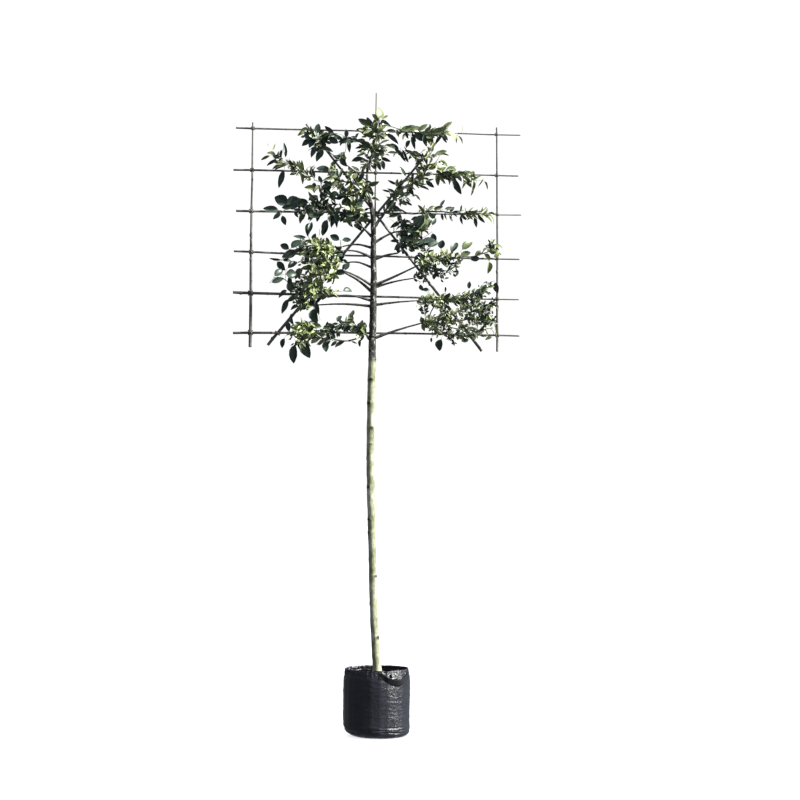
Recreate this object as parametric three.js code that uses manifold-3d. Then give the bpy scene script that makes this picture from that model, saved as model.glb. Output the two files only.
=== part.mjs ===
// A pleached tree in a grow bag: a slim clear stem, a flat crown trained on a bamboo panel, and the bag
// with its root ball. Millimetres, +Z up, the panel along X, its front towards -Y.
// The origin is the middle of the bag's flat underside.
import * as THREE from "three";
import { mergeVertices } from "three/addons/utils/BufferGeometryUtils.js";
import Module from "manifold-3d";

const wasm = await Module();
wasm.setup();

// Driving dimensions
const gap = 0.4; // left between neighbours that touch
const bagRadius = 173;
const bagHeight = 345;
const bagWall = 3;
const bagSides = 24;
const soilTop = 298;
const cornerLeft = 66; // rounding of the bag's lower edge, slack on the left
const cornerRight = 26;
const rowHeights = [3163, 2943, 2729, 2504, 2288, 2085]; // six level canes, top to bottom
const rowTilts = [0, 2, 8, -16, -18, 2]; // how much higher each right end lies
const rowBows = [2, 0, 0, -6, -4, 9];
const rowLefts = [-738, -750, -735, -745, -749, -748];
const rowLength = 1516;
const rowThick = [4.6, 5, 5.6, 5.2, 7, 6]; // radius at the left end
const rowThin = [3.2, 3.6, 2.8, 3.8, 3.4, 4.2]; // and at the right end
const rowDepth = 37; // the rows lie this far behind the stem's axis
const uprightDepth = 20;
const crownMiddle = 4; // the masses' middle plane
const tipHeight = 3366; // top of the centre cane

// The stem: height, sideways lean, set-back and radius at each station
const stem = [
  { z: soilTop + gap, x: 7, y: 0, r: 32 },
  { z: 318, x: 6, y: 0, r: 25.5 },
  { z: 352, x: 4, y: 0, r: 22 },
  { z: 560, x: -10, y: 2, r: 20.3 },
  { z: 1060, x: -25, y: -3, r: 19.8 },
  { z: 1500, x: -32, y: 2, r: 19.8 },
  { z: 1990, x: -23, y: 0, r: 19.2 },
  { z: 2290, x: -16, y: 0, r: 16.8 },
  { z: 2500, x: -17, y: 0, r: 15 },
  { z: 2745, x: -21, y: 0, r: 12.6 },
  { z: 2842, x: -56, y: -4, r: 7.4 },
  { z: 3003, x: -35, y: -8, r: 5.6 },
  { z: 3175, x: 16, y: -6, r: 4 },
  { z: 3250, x: 7, y: -4, r: 2.4 },
];

// Boughs: where each leaves the stem or a mass, where it ends, the rise of its middle, its root radius
const boughs = [
  { name: "bough_left_1", from: [-21, 2590], to: [-150, 2690], rise: 14, root: 6.5, y: -14 },
  { name: "bough_left_2", from: [-18, 2534], to: [-200, 2534], rise: 24, root: 6.5, y: 18 },
  { name: "bough_left_3", from: [-18, 2480], to: [-200, 2512], rise: 22, root: 7, y: -22 },
  { name: "bough_left_4", from: [-18, 2428], to: [-200, 2442], rise: 30, root: 6, y: 12 },
  { name: "bough_left_5", from: [-16, 2332], to: [-215, 2420], rise: 14, root: 7, y: -26 },
  { name: "bough_left_6", from: [-16, 2296], to: [-235, 2412], rise: 32, root: 8, y: 10 },
  { name: "bough_left_7", from: [-15, 2252], to: [-262, 2270], rise: 24, root: 7, y: -18 },
  { name: "bough_left_8", from: [-15, 2228], to: [-335, 2230], rise: 12, root: 7.5, y: 8 },
  { name: "bough_left_9", from: [-20, 2050], to: [-150, 2112], rise: 8, root: 7.5, y: -12 },
  { name: "bough_left_10", from: [-48, 2885], to: [-205, 3000], rise: 6, root: 5, y: -10 },
  { name: "bough_right_1", from: [-18, 2645], to: [150, 2838], rise: 6, root: 8, y: -12 },
  { name: "bough_right_2", from: [-17, 2560], to: [180, 2640], rise: 20, root: 7, y: 10 },
  { name: "bough_right_3", from: [-17, 2474], to: [190, 2506], rise: 18, root: 7, y: -18 },
  { name: "bough_right_4", from: [-16, 2338], to: [262, 2470], rise: -4, root: 8, y: -24 },
  { name: "bough_right_5", from: [-16, 2326], to: [225, 2384], rise: 10, root: 6.5, y: 8 },
  { name: "bough_right_6", from: [-15, 2236], to: [240, 2262], rise: 4, root: 7, y: -14 },
  { name: "bough_right_7", from: [-21, 2058], to: [265, 2150], rise: 6, root: 8, y: -10 },
  { name: "bough_right_8", from: [10, 3195], to: [125, 3166], rise: 4, root: 3, y: -12 },
  { name: "bough_right_9", from: [-20, 2712], to: [60, 2722], rise: -6, root: 6, y: -8 },
];

// Masses of foliage: a bent spine across the panel, the half height along it, and the half depth
const masses = [
  { name: "leader", from: [8, 3252], to: [-12, 2950], reach: [30, 86, 100, 52], depth: 90 },
  { name: "left_1", from: [-392, 3148], to: [-168, 2982], bow: 8, reach: [24, 74, 58, 24], depth: 70 },
  { name: "left_2", from: [-212, 3126], to: [-104, 3104], bow: 2, reach: [22, 36, 18], depth: 46 },
  { name: "left_3", from: [-592, 3050], to: [-342, 2894], bow: 4, reach: [18, 60, 52, 26], depth: 66 },
  { name: "left_4", from: [-345, 2914], to: [-34, 2808], bow: 4, reach: [32, 80, 92, 48], depth: 105 },
  { name: "left_5", from: [-584, 2718], to: [-44, 2722], bow: 18, reach: [14, 56, 76, 76, 44], depth: 105 },
  { name: "left_6", from: [-556, 2402], to: [-168, 2494], bow: -16, reach: [66, 156, 178, 70], depth: 135 },
  { name: "left_7", from: [-486, 2228], to: [-318, 2204], bow: 8, reach: [26, 42, 58], depth: 72 },
  { name: "left_8", from: [-516, 2056], to: [-56, 2110], bow: -10, reach: [38, 108, 80, 80, 40], depth: 105 },
  { name: "right_1", from: [104, 3162], to: [462, 3172], bow: -8, reach: [22, 42, 42, 18], depth: 55 },
  { name: "right_2", from: [58, 2762], to: [342, 3070], reach: [28, 70, 82, 48], depth: 95 },
  { name: "right_3", from: [84, 3068], to: [206, 3028], bow: 4, reach: [18, 32, 18], depth: 46 },
  { name: "right_4", from: [318, 2948], to: [584, 2878], bow: 8, reach: [28, 50, 32, 14], depth: 60 },
  { name: "right_5", from: [40, 2724], to: [624, 2714], bow: 14, reach: [16, 42, 36, 48, 18], depth: 66 },
  { name: "right_6", from: [68, 2654], to: [278, 2656], bow: -34, reach: [26, 76, 62], depth: 95 },
  { name: "right_7", from: [108, 2534], to: [644, 2542], bow: -22, reach: [28, 88, 82, 54, 62], depth: 105 },
  { name: "right_8", from: [188, 2402], to: [424, 2420], bow: -6, reach: [26, 42, 28], depth: 55 },
  { name: "right_9", from: [208, 2274], to: [598, 2338], bow: -14, reach: [22, 42, 56, 38], depth: 92 },
  { name: "right_10", from: [238, 2152], to: [640, 2180], bow: -18, reach: [38, 106, 118, 88], depth: 130 },
];

const colours = {
  bark: { color: "#6f7452", roughness: 0.75 },
  bough: { color: "#4d4f3a", roughness: 0.8 },
  leaf: { color: "#3c5138", roughness: 0.5 },
  cane: { color: "#77705f", roughness: 0.7 },
  bag: { color: "#24272c", roughness: 0.45 },
  strap: { color: "#34373c", roughness: 0.5 },
  soil: { color: "#3a2c22", roughness: 0.95 },
};

// Mesh and solid helpers

function geometryOf(points, faces) {
  const g = new THREE.BufferGeometry();
  g.setAttribute("position", new THREE.Float32BufferAttribute(points.flat(), 3));
  g.setIndex(faces.flat());
  return g;
}

function solidOf(geometry) {
  const g = geometry.clone();
  g.deleteAttribute("normal");
  g.deleteAttribute("uv");
  const merged = mergeVertices(g, 1e-4);
  return new wasm.Manifold(
    new wasm.Mesh({
      numProp: 3,
      vertProperties: merged.attributes.position.array,
      triVerts: new Uint32Array(merged.index.array),
    }),
  );
}

function geometryFrom(solid) {
  const mesh = solid.getMesh();
  const g = new THREE.BufferGeometry();
  g.setAttribute("position", new THREE.BufferAttribute(mesh.vertProperties, 3));
  g.setIndex(new THREE.BufferAttribute(mesh.triVerts, 1));
  g.computeVertexNormals();
  return g;
}

// Cuts neighbours out of a solid and keeps its largest body.
function carve(solid, cutters) {
  let rest = solid;
  for (const cutter of cutters) rest = rest.subtract(cutter);
  const bodies = rest.decompose().sort((a, b) => b.volume() - a.volume());
  return bodies[0];
}

// Skins closed rings of equal count, with a fan over each end.
function skin(rings) {
  const count = rings[0].length;
  const points = rings.flat();
  const faces = [];
  for (let i = 0; i < rings.length - 1; i++)
    for (let k = 0; k < count; k++) {
      const a = i * count + k;
      const b = i * count + ((k + 1) % count);
      faces.push([a, b, b + count], [a, b + count, a + count]);
    }
  for (const [ring, flip] of [[0, true], [rings.length - 1, false]]) {
    const middle = points.length;
    const sum = rings[ring].reduce((s, p) => s.map((v, i) => v + p[i]), [0, 0, 0]);
    points.push(sum.map((v) => v / count));
    for (let k = 0; k < count; k++) {
      const a = ring * count + k;
      const b = ring * count + ((k + 1) % count);
      faces.push(flip ? [b, a, middle] : [a, b, middle]);
    }
  }
  return geometryOf(points, faces);
}

// A value read off an evenly spaced list, smoothed between its entries.
function along(list, t) {
  const place = Math.min(Math.max(t, 0), 1) * (list.length - 1);
  const i = Math.min(Math.floor(place), list.length - 2);
  const u = place - i;
  const ease = u * u * (3 - 2 * u);
  return list[i] * (1 - ease) + list[i + 1] * ease;
}

// A repeatable number from 0 to 1 for a name and a step.
function chance(name, step) {
  let h = 2166136261 ^ step;
  for (const c of name) h = Math.imul(h ^ c.charCodeAt(0), 16777619);
  h = Math.imul(h ^ (h >>> 15), 2246822507);
  return ((h ^ (h >>> 13)) >>> 0) / 4294967296;
}

// A tapering round limb along stations of place and radius, its first cut level if asked.
function limb(stations, sides, steps, levelFoot, grow = 0) {
  const path = new THREE.CatmullRomCurve3(
    stations.map((s) => new THREE.Vector3(s.x, s.y, s.z)),
    false,
    "centripetal",
  );
  const rings = [];
  for (let i = 0; i <= steps; i++) {
    const t = i / steps;
    const centre = path.getPoint(t);
    const heading = path.getTangent(t);
    if (levelFoot && i === 0) heading.set(0, 0, 1);
    const radius = along(stations.map((s) => s.r), t) + grow;
    const across = new THREE.Vector3(0, 1, 0).cross(heading).normalize();
    if (Math.abs(heading.y) > 0.95) across.set(1, 0, 0);
    const up = heading.clone().cross(across);
    const ring = [];
    for (let k = 0; k < sides; k++) {
      const a = (2 * Math.PI * k) / sides;
      const p = centre.clone();
      p.addScaledVector(across, radius * Math.cos(a)).addScaledVector(up, radius * Math.sin(a));
      ring.push(p.toArray());
    }
    rings.push(ring);
  }
  return skin(rings);
}

// A bough swings out of the stem's plane and narrows to a third by its end.
function boughShape(b, grow = 0) {
  const stations = [0, 0.35, 0.7, 1].map((t) => ({
    x: THREE.MathUtils.lerp(b.from[0], b.to[0], t),
    y: b.y * Math.sin(0.5 * Math.PI * t),
    z: THREE.MathUtils.lerp(b.from[1], b.to[1], t) + b.rise * Math.sin(Math.PI * t),
    r: b.root * (1 - 0.64 * t),
  }));
  return limb(stations, 6, 5, false, grow);
}

// A mass is an uneven, round-ended loaf along its spine. Grown, it also gets longer.
function massShape(m, grow = 0) {
  const sides = 10;
  const steps = 7;
  const ax = m.to[0] - m.from[0];
  const az = m.to[1] - m.from[1];
  const length = Math.hypot(ax, az);
  const side = [-az / length, ax / length];
  const rings = [];
  for (let i = 0; i <= steps; i++) {
    const t = i / steps;
    const bend = (m.bow ?? 0) * Math.sin(Math.PI * t);
    const run = length * t + grow * (2 * t - 1);
    const x = m.from[0] + (ax / length) * run;
    const z = m.from[1] + (az / length) * run + bend;
    const end = Math.pow(Math.sin(Math.PI * (0.1 + 0.8 * t)), 0.55);
    const ring = [];
    for (let k = 0; k < sides; k++) {
      const a = (2 * Math.PI * k) / sides;
      const uneven = 0.82 + 0.34 * chance(m.name, i * sides + k);
      const high = along(m.reach, t) * uneven + grow;
      const deep = m.depth * end * (0.9 + 0.2 * chance(m.name, 500 + i * sides + k)) + grow;
      const h = high * Math.cos(a);
      ring.push([x + side[0] * h, crownMiddle - deep * Math.sin(a), z + side[1] * h]);
    }
    rings.push(ring);
  }
  return skin(rings);
}

// A bamboo cane: a straight or slightly bowed tapering rod.
function caneShape(c, grow = 0) {
  const stations = [0, 1 / 3, 2 / 3, 1].map((t) => ({
    x: THREE.MathUtils.lerp(c.from[0], c.to[0], t),
    y: THREE.MathUtils.lerp(c.from[1], c.to[1], t),
    z: THREE.MathUtils.lerp(c.from[2], c.to[2], t) + (c.bow ?? 0) * Math.sin(Math.PI * t),
    r: THREE.MathUtils.lerp(c.thick, c.thin, t),
  }));
  return limb(stations, 6, 3, false, grow);
}

function caneList() {
  const list = rowHeights.map((z, i) => ({
    name: `cane_row_${i + 1}`,
    from: [rowLefts[i], rowDepth, z - rowTilts[i] / 2],
    to: [rowLefts[i] + rowLength, rowDepth, z + rowTilts[i] / 2],
    bow: rowBows[i],
    thick: rowThick[i],
    thin: rowThin[i],
  }));
  const d = uprightDepth;
  list.push(
    { name: "cane_upright_left", from: [-659, d, 2010], to: [-651, d, 3192], thick: 8, thin: 3.6 },
    { name: "cane_upright_right", from: [646, d + 2, 2000], to: [648, d + 5, 3200], thick: 5.6, thin: 4 },
    { name: "cane_slant_up", from: [-566, 53, 2025], to: [372, 51, 3174], thick: 7.2, thin: 5 },
    { name: "cane_slant_down", from: [571, 67, 2006], to: [-368, 65, 3200], thick: 7, thin: 5 },
    { name: "cane_centre", from: [-9, 25, 1985], to: [-1, 16, tipHeight], thick: 5, thin: 2.8 },
  );
  return list;
}

// Radius of the bag at a height and a direction: slack rounding below, a slight belly, soft dents.
function bagReach(z, a, inset) {
  const toLeft = 0.5 - 0.5 * Math.cos(a);
  const corner = THREE.MathUtils.lerp(cornerRight, cornerLeft, toLeft);
  const low = Math.max(0, 1 - z / corner);
  const rounding = corner * (1 - Math.sqrt(Math.max(0, 1 - low * low)));
  const belly = 3.5 * Math.sin((Math.PI * z) / bagHeight);
  const dents = 1.6 * Math.sin(3 * a + 0.8) + 1.2 * Math.sin(5 * a - 0.4 + z / 90);
  return bagRadius - 2 - rounding + belly + dents * Math.min(1, z / 80) - inset;
}

function bagRing(z, inset, height = z) {
  const ring = [];
  for (let k = 0; k < bagSides; k++) {
    const a = (2 * Math.PI * k) / bagSides;
    const r = bagReach(z, a, inset);
    ring.push([r * Math.cos(a), r * Math.sin(a), height]);
  }
  return ring;
}

const bagLevels = [0, 22, 50, 100, 180, 250, soilTop - 6, bagHeight];
const heel = 7; // one more level for the outside's lower edge

// An open bag: up the outside, over the rim and down the inside to its floor.
function bagShape() {
  const outside = bagLevels.map((z) => bagRing(z, 0));
  outside.splice(1, 0, bagRing(heel, 0));
  const inside = bagLevels.map((z) => bagRing(z, bagWall, z || bagWall));
  return skin([...outside, ...inside.reverse()]);
}

// The root ball fills the bag to a little below its rim.
function rootBallShape() {
  const slack = 2.2; // the bag's facets twist a little, so the ball keeps this far inside them
  const inset = bagWall + slack;
  const levels = bagLevels.filter((z) => z < soilTop);
  const rings = levels.map((z) => bagRing(z, inset, z || inset));
  rings.push(bagRing(soilTop, inset + 14));
  return skin(rings);
}

// A strap lies on the bag and sags between its two sewn ends.
function strapShape(start, sweep) {
  const steps = 14;
  const width = 11;
  const thickness = 1.8;
  const sag = 34;
  const rings = [];
  for (let i = 0; i <= steps; i++) {
    const t = i / steps;
    const a = start + sweep * t;
    const z = bagHeight - 22 - sag * Math.sin(Math.PI * t);
    const off = gap + 2.4;
    const ring = [];
    for (const [dr, dz] of [[0, -1], [thickness, -1], [thickness, 1], [0, 1]]) {
      const r = bagReach(z, a, 0) + off + dr;
      ring.push([r * Math.cos(a), r * Math.sin(a), z + (dz * width) / 2]);
    }
    rings.push(ring.reverse());
  }
  return skin(rings);
}

// The assembly

const tree = new THREE.Group();

function add(name, solid, look) {
  const mesh = new THREE.Mesh(geometryFrom(solid), new THREE.MeshStandardMaterial({ ...look, metalness: 0 }));
  mesh.name = name;
  tree.add(mesh);
}

const stemSteps = 26;
const trunk = solidOf(limb(stem, 10, stemSteps, true));
const trunkRoom = solidOf(limb(stem, 10, stemSteps, true, gap));
const canes = caneList();
const caneRooms = canes.map((c) => solidOf(caneShape(c, gap)));

add("trunk", trunk, colours.bark);
canes.forEach((c) => add(c.name, solidOf(caneShape(c)), colours.cane));

const massRooms = [];
for (const m of masses) {
  add(`leaves_${m.name}`, carve(solidOf(massShape(m)), [trunkRoom, ...caneRooms, ...massRooms]), colours.leaf);
  massRooms.push(solidOf(massShape(m, gap)));
}

const boughRooms = [];
for (const b of boughs) {
  const limbSolid = solidOf(boughShape(b));
  add(b.name, carve(limbSolid, [trunkRoom, ...caneRooms, ...massRooms, ...boughRooms]), colours.bough);
  boughRooms.push(solidOf(boughShape(b, gap)));
}

add("grow_bag", solidOf(bagShape()), colours.bag);
add("root_ball", solidOf(rootBallShape()), colours.soil);
add("strap_front", solidOf(strapShape(-1.42, 0.98)), colours.strap);
add("strap_back", solidOf(strapShape(1.72, 0.98)), colours.strap);

export default tree;
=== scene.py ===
import math

import bpy
import numpy as np
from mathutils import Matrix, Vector, noise
from mathutils.bvhtree import BVHTree


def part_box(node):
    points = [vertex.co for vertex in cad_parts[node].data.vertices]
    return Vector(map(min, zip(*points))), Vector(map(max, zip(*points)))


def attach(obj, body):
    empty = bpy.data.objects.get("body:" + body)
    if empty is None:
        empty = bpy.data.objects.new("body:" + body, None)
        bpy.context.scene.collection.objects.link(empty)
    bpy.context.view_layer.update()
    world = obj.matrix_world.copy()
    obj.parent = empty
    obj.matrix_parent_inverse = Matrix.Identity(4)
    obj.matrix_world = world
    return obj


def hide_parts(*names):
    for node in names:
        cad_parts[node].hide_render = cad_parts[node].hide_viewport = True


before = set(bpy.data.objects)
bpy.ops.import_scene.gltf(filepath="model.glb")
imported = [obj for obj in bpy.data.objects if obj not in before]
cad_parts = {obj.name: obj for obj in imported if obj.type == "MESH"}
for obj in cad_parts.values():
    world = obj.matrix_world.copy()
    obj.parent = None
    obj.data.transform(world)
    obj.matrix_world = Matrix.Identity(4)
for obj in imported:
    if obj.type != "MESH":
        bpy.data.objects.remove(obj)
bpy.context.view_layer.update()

# The look of a panel-trained young tree in its grow bag. Metres, +Z up, the panel along X, the front
# towards -Y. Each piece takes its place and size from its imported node, and its dictionary holds the rest.

rng = np.random.default_rng(20)
scene = bpy.context.scene


# small tools


def unit(v):
    v = np.asarray(v, float)
    return v / (np.linalg.norm(v, axis=-1, keepdims=True) + 1e-12)


def corners(node):
    low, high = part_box(node)
    return np.array(low), np.array(high)


def inBox(node, u, v):  # a place halfway through a node's box, as shares of its width and height
    low, high = corners(node)
    return low + (high - low) * np.array([u, 0.5, v])


def nodeTree(node):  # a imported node's surface, for finding and hitting points on it
    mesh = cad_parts[node].data
    return BVHTree.FromPolygons([v.co for v in mesh.vertices], [p.vertices for p in mesh.polygons])


def smoothStep(x, a, b):
    t = np.clip((np.asarray(x, float) - a) / (b - a), 0, 1)
    return t * t * (3 - 2 * t)


def ripple(points, scale, depth=2):  # smooth noise, about -1 to 1, at many points
    return np.array([noise.fractal(Vector(p * scale), 1.0, 2.0, depth) for p in points])


def makePiece(name, points, faces, materials, faceSlots=None, grain=None, smooth=True):
    mesh = bpy.data.meshes.new(name)
    mesh.from_pydata([tuple(p) for p in np.asarray(points, float).tolist()], [], faces)
    for material in materials:
        mesh.materials.append(material)
    if faceSlots is not None:
        mesh.polygons.foreach_set("material_index", np.asarray(faceSlots, np.int32))
    if grain is not None:
        layer = mesh.attributes.new("grain", "FLOAT_VECTOR", "POINT")
        layer.data.foreach_set("vector", np.asarray(grain, np.float32).ravel())
    mesh.polygons.foreach_set("use_smooth", np.full(len(mesh.polygons), smooth))
    mesh.update()
    piece = bpy.data.objects.new(name, mesh)
    scene.collection.objects.link(piece)
    return piece


def settle(piece, slot, *nodes):
    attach(piece, "root")
    if nodes:
        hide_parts(*nodes)


class Heap:  # gathers many small meshes into one piece
    def __init__(self):
        self.points, self.faces, self.slots, self.grain, self.count = [], [], [], [], 0

    def add(self, points, faces, slot=0, grain=None):
        points = np.asarray(points, float)
        self.points.append(points)
        self.faces.extend([tuple(i + self.count for i in f) for f in faces])
        self.slots.extend(slot if isinstance(slot, (list, np.ndarray)) else [slot] * len(faces))
        self.grain.append(points if grain is None else np.asarray(grain, float))
        self.count += len(points)

    def piece(self, name, materials, smooth=True):
        points, grain = np.vstack(self.points), np.vstack(self.grain)
        return makePiece(name, points, self.faces, materials, self.slots, grain, smooth)


# materials


def shader(name, **values):
    material = bpy.data.materials.new(name)
    material.use_nodes = True
    surface = material.node_tree.nodes["Principled BSDF"]
    for socket, value in values.items():
        surface.inputs[socket.replace("_", " ")].default_value = value
    return material, material.node_tree, surface


def link(tree, a, b):
    tree.links.new(a, b)


def readLayer(tree, name):  # a value stored on the points of a mesh
    read = tree.nodes.new("ShaderNodeAttribute")
    read.attribute_name = name
    return read


def objectSpace(tree):
    return tree.nodes.new("ShaderNodeTexCoord").outputs["Object"]


def grainSpace(tree, stretch=(1, 1, 1)):  # the straightened space of a rod: across, across, lengthwise
    read = readLayer(tree, "grain")
    scale = tree.nodes.new("ShaderNodeMapping")
    scale.inputs["Scale"].default_value = stretch
    link(tree, read.outputs["Vector"], scale.inputs["Vector"])
    return scale.outputs["Vector"]


def cloud(tree, space, scale, detail=4, roughness=0.55):
    node = tree.nodes.new("ShaderNodeTexNoise")
    node.inputs["Scale"].default_value = scale
    node.inputs["Detail"].default_value = detail
    node.inputs["Roughness"].default_value = roughness
    link(tree, space, node.inputs["Vector"])
    return node.outputs["Fac"]


def ramp(tree, value, *stops):
    node = tree.nodes.new("ShaderNodeValToRGB")
    bar = node.color_ramp
    while len(bar.elements) < len(stops):
        bar.elements.new(0.5)
    for element, (place, colour) in zip(bar.elements, stops):
        element.position = place
        element.color = (*colour, 1) if isinstance(colour, tuple) else (colour, colour, colour, 1)
    link(tree, value, node.inputs["Fac"])
    return node.outputs["Color"]


def blendColours(tree, share, a, b, kind="MIX"):
    node = tree.nodes.new("ShaderNodeMix")
    node.data_type = "RGBA"
    node.blend_type = kind
    for socket, value in (("Factor", share), ("A", a), ("B", b)):
        target = next(s for s in node.inputs if s.name == socket and s.enabled)
        if isinstance(value, bpy.types.NodeSocket):
            link(tree, value, target)
        else:
            target.default_value = (*value, 1) if isinstance(value, tuple) else value
    return next(s for s in node.outputs if s.enabled)


def maths(tree, kind, *values):
    node = tree.nodes.new("ShaderNodeMath")
    node.operation = kind
    for socket, value in zip(node.inputs, values):
        if isinstance(value, bpy.types.NodeSocket):
            link(tree, value, socket)
        else:
            socket.default_value = value
    return node.outputs[0]


def relief(tree, surface, height, strength, distance):
    bump = tree.nodes.new("ShaderNodeBump")
    bump.inputs["Strength"].default_value = strength
    bump.inputs["Distance"].default_value = distance
    link(tree, height, bump.inputs["Height"])
    link(tree, bump.outputs["Normal"], surface.inputs["Normal"])


def barkMaterial():
    material, tree, surface = shader("smoothBark", Specular_IOR_Level=0.2)
    space = grainSpace(tree)
    long = grainSpace(tree, (1, 1, 0.16))
    broad = ramp(tree, cloud(tree, space, 11, 5, 0.6), (0.36, (0.13, 0.14, 0.065)), (0.5, (0.27, 0.28, 0.18)),
                 (0.66, (0.46, 0.46, 0.38)))
    streak = ramp(tree, cloud(tree, long, 160, 4, 0.6), (0.34, 0.3), (0.56, 1.0))
    tone = blendColours(tree, 0.65, broad, streak, "MULTIPLY")
    flecks = ramp(tree, cloud(tree, grainSpace(tree, (0.35, 0.35, 1)), 420, 2, 0.5), (0.64, 0.0), (0.7, 1.0))
    tone = blendColours(tree, flecks, tone, (0.12, 0.1, 0.06))
    moss = ramp(tree, cloud(tree, space, 30, 4, 0.7), (0.54, 0.0), (0.7, 0.55))
    tone = blendColours(tree, moss, tone, (0.09, 0.12, 0.03))
    parts = tree.nodes.new("ShaderNodeSeparateXYZ")
    link(tree, readLayer(tree, "grain").outputs["Vector"], parts.inputs[0])
    # from a ragged line near 2 m up, the stem turns near-black with sparse pale flecks: painted shade
    # standing for the shadow the crown casts on the stem
    aloft = maths(tree, "ADD", parts.outputs["Z"], maths(tree, "MULTIPLY", cloud(tree, space, 9), 0.35))
    crownShadeShare = ramp(tree, maths(tree, "MULTIPLY", aloft, 0.25), (0.522, 0.0), (0.538, 0.97))
    crownShadeTone = ramp(tree, cloud(tree, grainSpace(tree, (1, 1, 0.5)), 85, 4, 0.75),
                    (0.4, (0.008, 0.008, 0.008)), (0.57, (0.022, 0.022, 0.018)), (0.63, (0.4, 0.4, 0.34)))
    tone = blendColours(tree, crownShadeShare, tone, crownShadeTone)
    ragged = maths(tree, "MULTIPLY", cloud(tree, space, 260, 3, 0.7), 0.4)
    scarred = maths(tree, "ADD", readLayer(tree, "scar").outputs["Fac"], ragged)
    tone = blendColours(tree, ramp(tree, scarred, (0.42, 0.0), (0.75, 0.9)), tone, (0.018, 0.017, 0.01))
    link(tree, tone, surface.inputs["Base Color"])
    link(tree, ramp(tree, cloud(tree, space, 60), (0.3, 0.5), (0.7, 0.72)), surface.inputs["Roughness"])
    relief(tree, surface, cloud(tree, grainSpace(tree, (1, 1, 0.3)), 330, 5, 0.65), 0.35, 0.001)
    return material


def youngBarkMaterial(name, dark, light):
    material, tree, surface = shader(name, Specular_IOR_Level=0.4)
    space = grainSpace(tree, (1, 1, 0.35))
    tone = ramp(tree, cloud(tree, space, 120, 4, 0.6), (0.32, dark), (0.7, light))
    link(tree, tone, surface.inputs["Base Color"])
    link(tree, ramp(tree, cloud(tree, space, 200), (0.3, 0.45), (0.7, 0.68)), surface.inputs["Roughness"])
    relief(tree, surface, cloud(tree, space, 500, 4, 0.6), 0.3, 0.0006)
    return material


def caneMaterial():
    material, tree, surface = shader("weatheredBamboo", Specular_IOR_Level=0.4)
    space = grainSpace(tree)
    fibre = cloud(tree, grainSpace(tree, (1, 1, 0.03)), 520, 4, 0.6)
    tone = ramp(tree, cloud(tree, grainSpace(tree, (1, 1, 0.3)), 22, 5, 0.65), (0.32, (0.05, 0.047, 0.044)),
                (0.5, (0.105, 0.099, 0.09)), (0.7, (0.19, 0.18, 0.155)))
    tone = blendColours(tree, 0.55, tone, ramp(tree, fibre, (0.3, 0.5), (0.7, 1.0)), "MULTIPLY")
    mould = ramp(tree, cloud(tree, space, 70, 5, 0.7), (0.57, 0.0), (0.66, 0.85))
    tone = blendColours(tree, mould, tone, (0.02, 0.019, 0.018))
    link(tree, tone, surface.inputs["Base Color"])
    link(tree, ramp(tree, cloud(tree, space, 90), (0.3, 0.42), (0.7, 0.7)), surface.inputs["Roughness"])
    relief(tree, surface, fibre, 0.3, 0.0005)
    return material


def leafMaterial(name, deep, tone, roughness, gloss=0.45, wax=0.12):
    material, tree, surface = shader(name, Roughness=roughness, Specular_IOR_Level=gloss, Coat_Weight=wax,
                                     Coat_Roughness=0.28)
    space = grainSpace(tree)
    patch = cloud(tree, space, 26, 3, 0.5)
    fine = cloud(tree, space, 420, 3, 0.5)
    colour = ramp(tree, patch, (0.34, deep), (0.66, tone))
    colour = blendColours(tree, 0.3, colour, ramp(tree, fine, (0.3, 0.6), (0.7, 1.0)), "MULTIPLY")
    link(tree, colour, surface.inputs["Base Color"])
    relief(tree, surface, fine, 0.25, 0.0006)
    return material


def bagMaterial():
    material, tree, surface = shader("blackWovenPlastic", Specular_IOR_Level=0.5)
    place = objectSpace(tree)
    parts = tree.nodes.new("ShaderNodeSeparateXYZ")
    link(tree, place, parts.inputs[0])
    turn = maths(tree, "ARCTAN2", parts.outputs["Y"], parts.outputs["X"])
    across = maths(tree, "SINE", maths(tree, "MULTIPLY", turn, 420.0))
    upward = maths(tree, "SINE", maths(tree, "MULTIPLY", parts.outputs["Z"], 2400.0))
    patchy = ramp(tree, cloud(tree, place, 150, 3, 0.65), (0.4, 0.2), (0.55, 1.0))
    weave = maths(tree, "ADD", upward, maths(tree, "MULTIPLY", across, 0.35))
    threads = maths(tree, "MULTIPLY", maths(tree, "MULTIPLY", weave, patchy), 0.3)
    lumps = maths(tree, "MULTIPLY", cloud(tree, place, 190, 3, 0.6), 0.95)
    height = maths(tree, "ADD", threads, lumps)
    tone = ramp(tree, cloud(tree, place, 14, 4, 0.6), (0.3, (0.006, 0.0063, 0.0088)),
                (0.7, (0.0095, 0.0108, 0.017)))
    dusty = ramp(tree, cloud(tree, place, 38, 5, 0.7), (0.5, 0.0), (0.78, 0.25))
    tone = blendColours(tree, dusty, tone, (0.02, 0.021, 0.024))
    link(tree, tone, surface.inputs["Base Color"])
    worn = ramp(tree, cloud(tree, place, 55, 4, 0.6), (0.3, 0.28), (0.7, 0.4))
    link(tree, worn, surface.inputs["Roughness"])
    relief(tree, surface, height, 0.6, 0.001)
    return material


def strapMaterial():
    material, tree, surface = shader("wovenStrap", Specular_IOR_Level=0.3)
    place = objectSpace(tree)
    grid = cloud(tree, place, 520, 2, 0.5)
    tone = ramp(tree, grid, (0.3, (0.0025, 0.0025, 0.003)), (0.7, (0.007, 0.0075, 0.009)))
    link(tree, tone, surface.inputs["Base Color"])
    link(tree, ramp(tree, grid, (0.3, 0.32), (0.7, 0.6)), surface.inputs["Roughness"])
    relief(tree, surface, grid, 0.5, 0.001)
    return material


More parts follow.
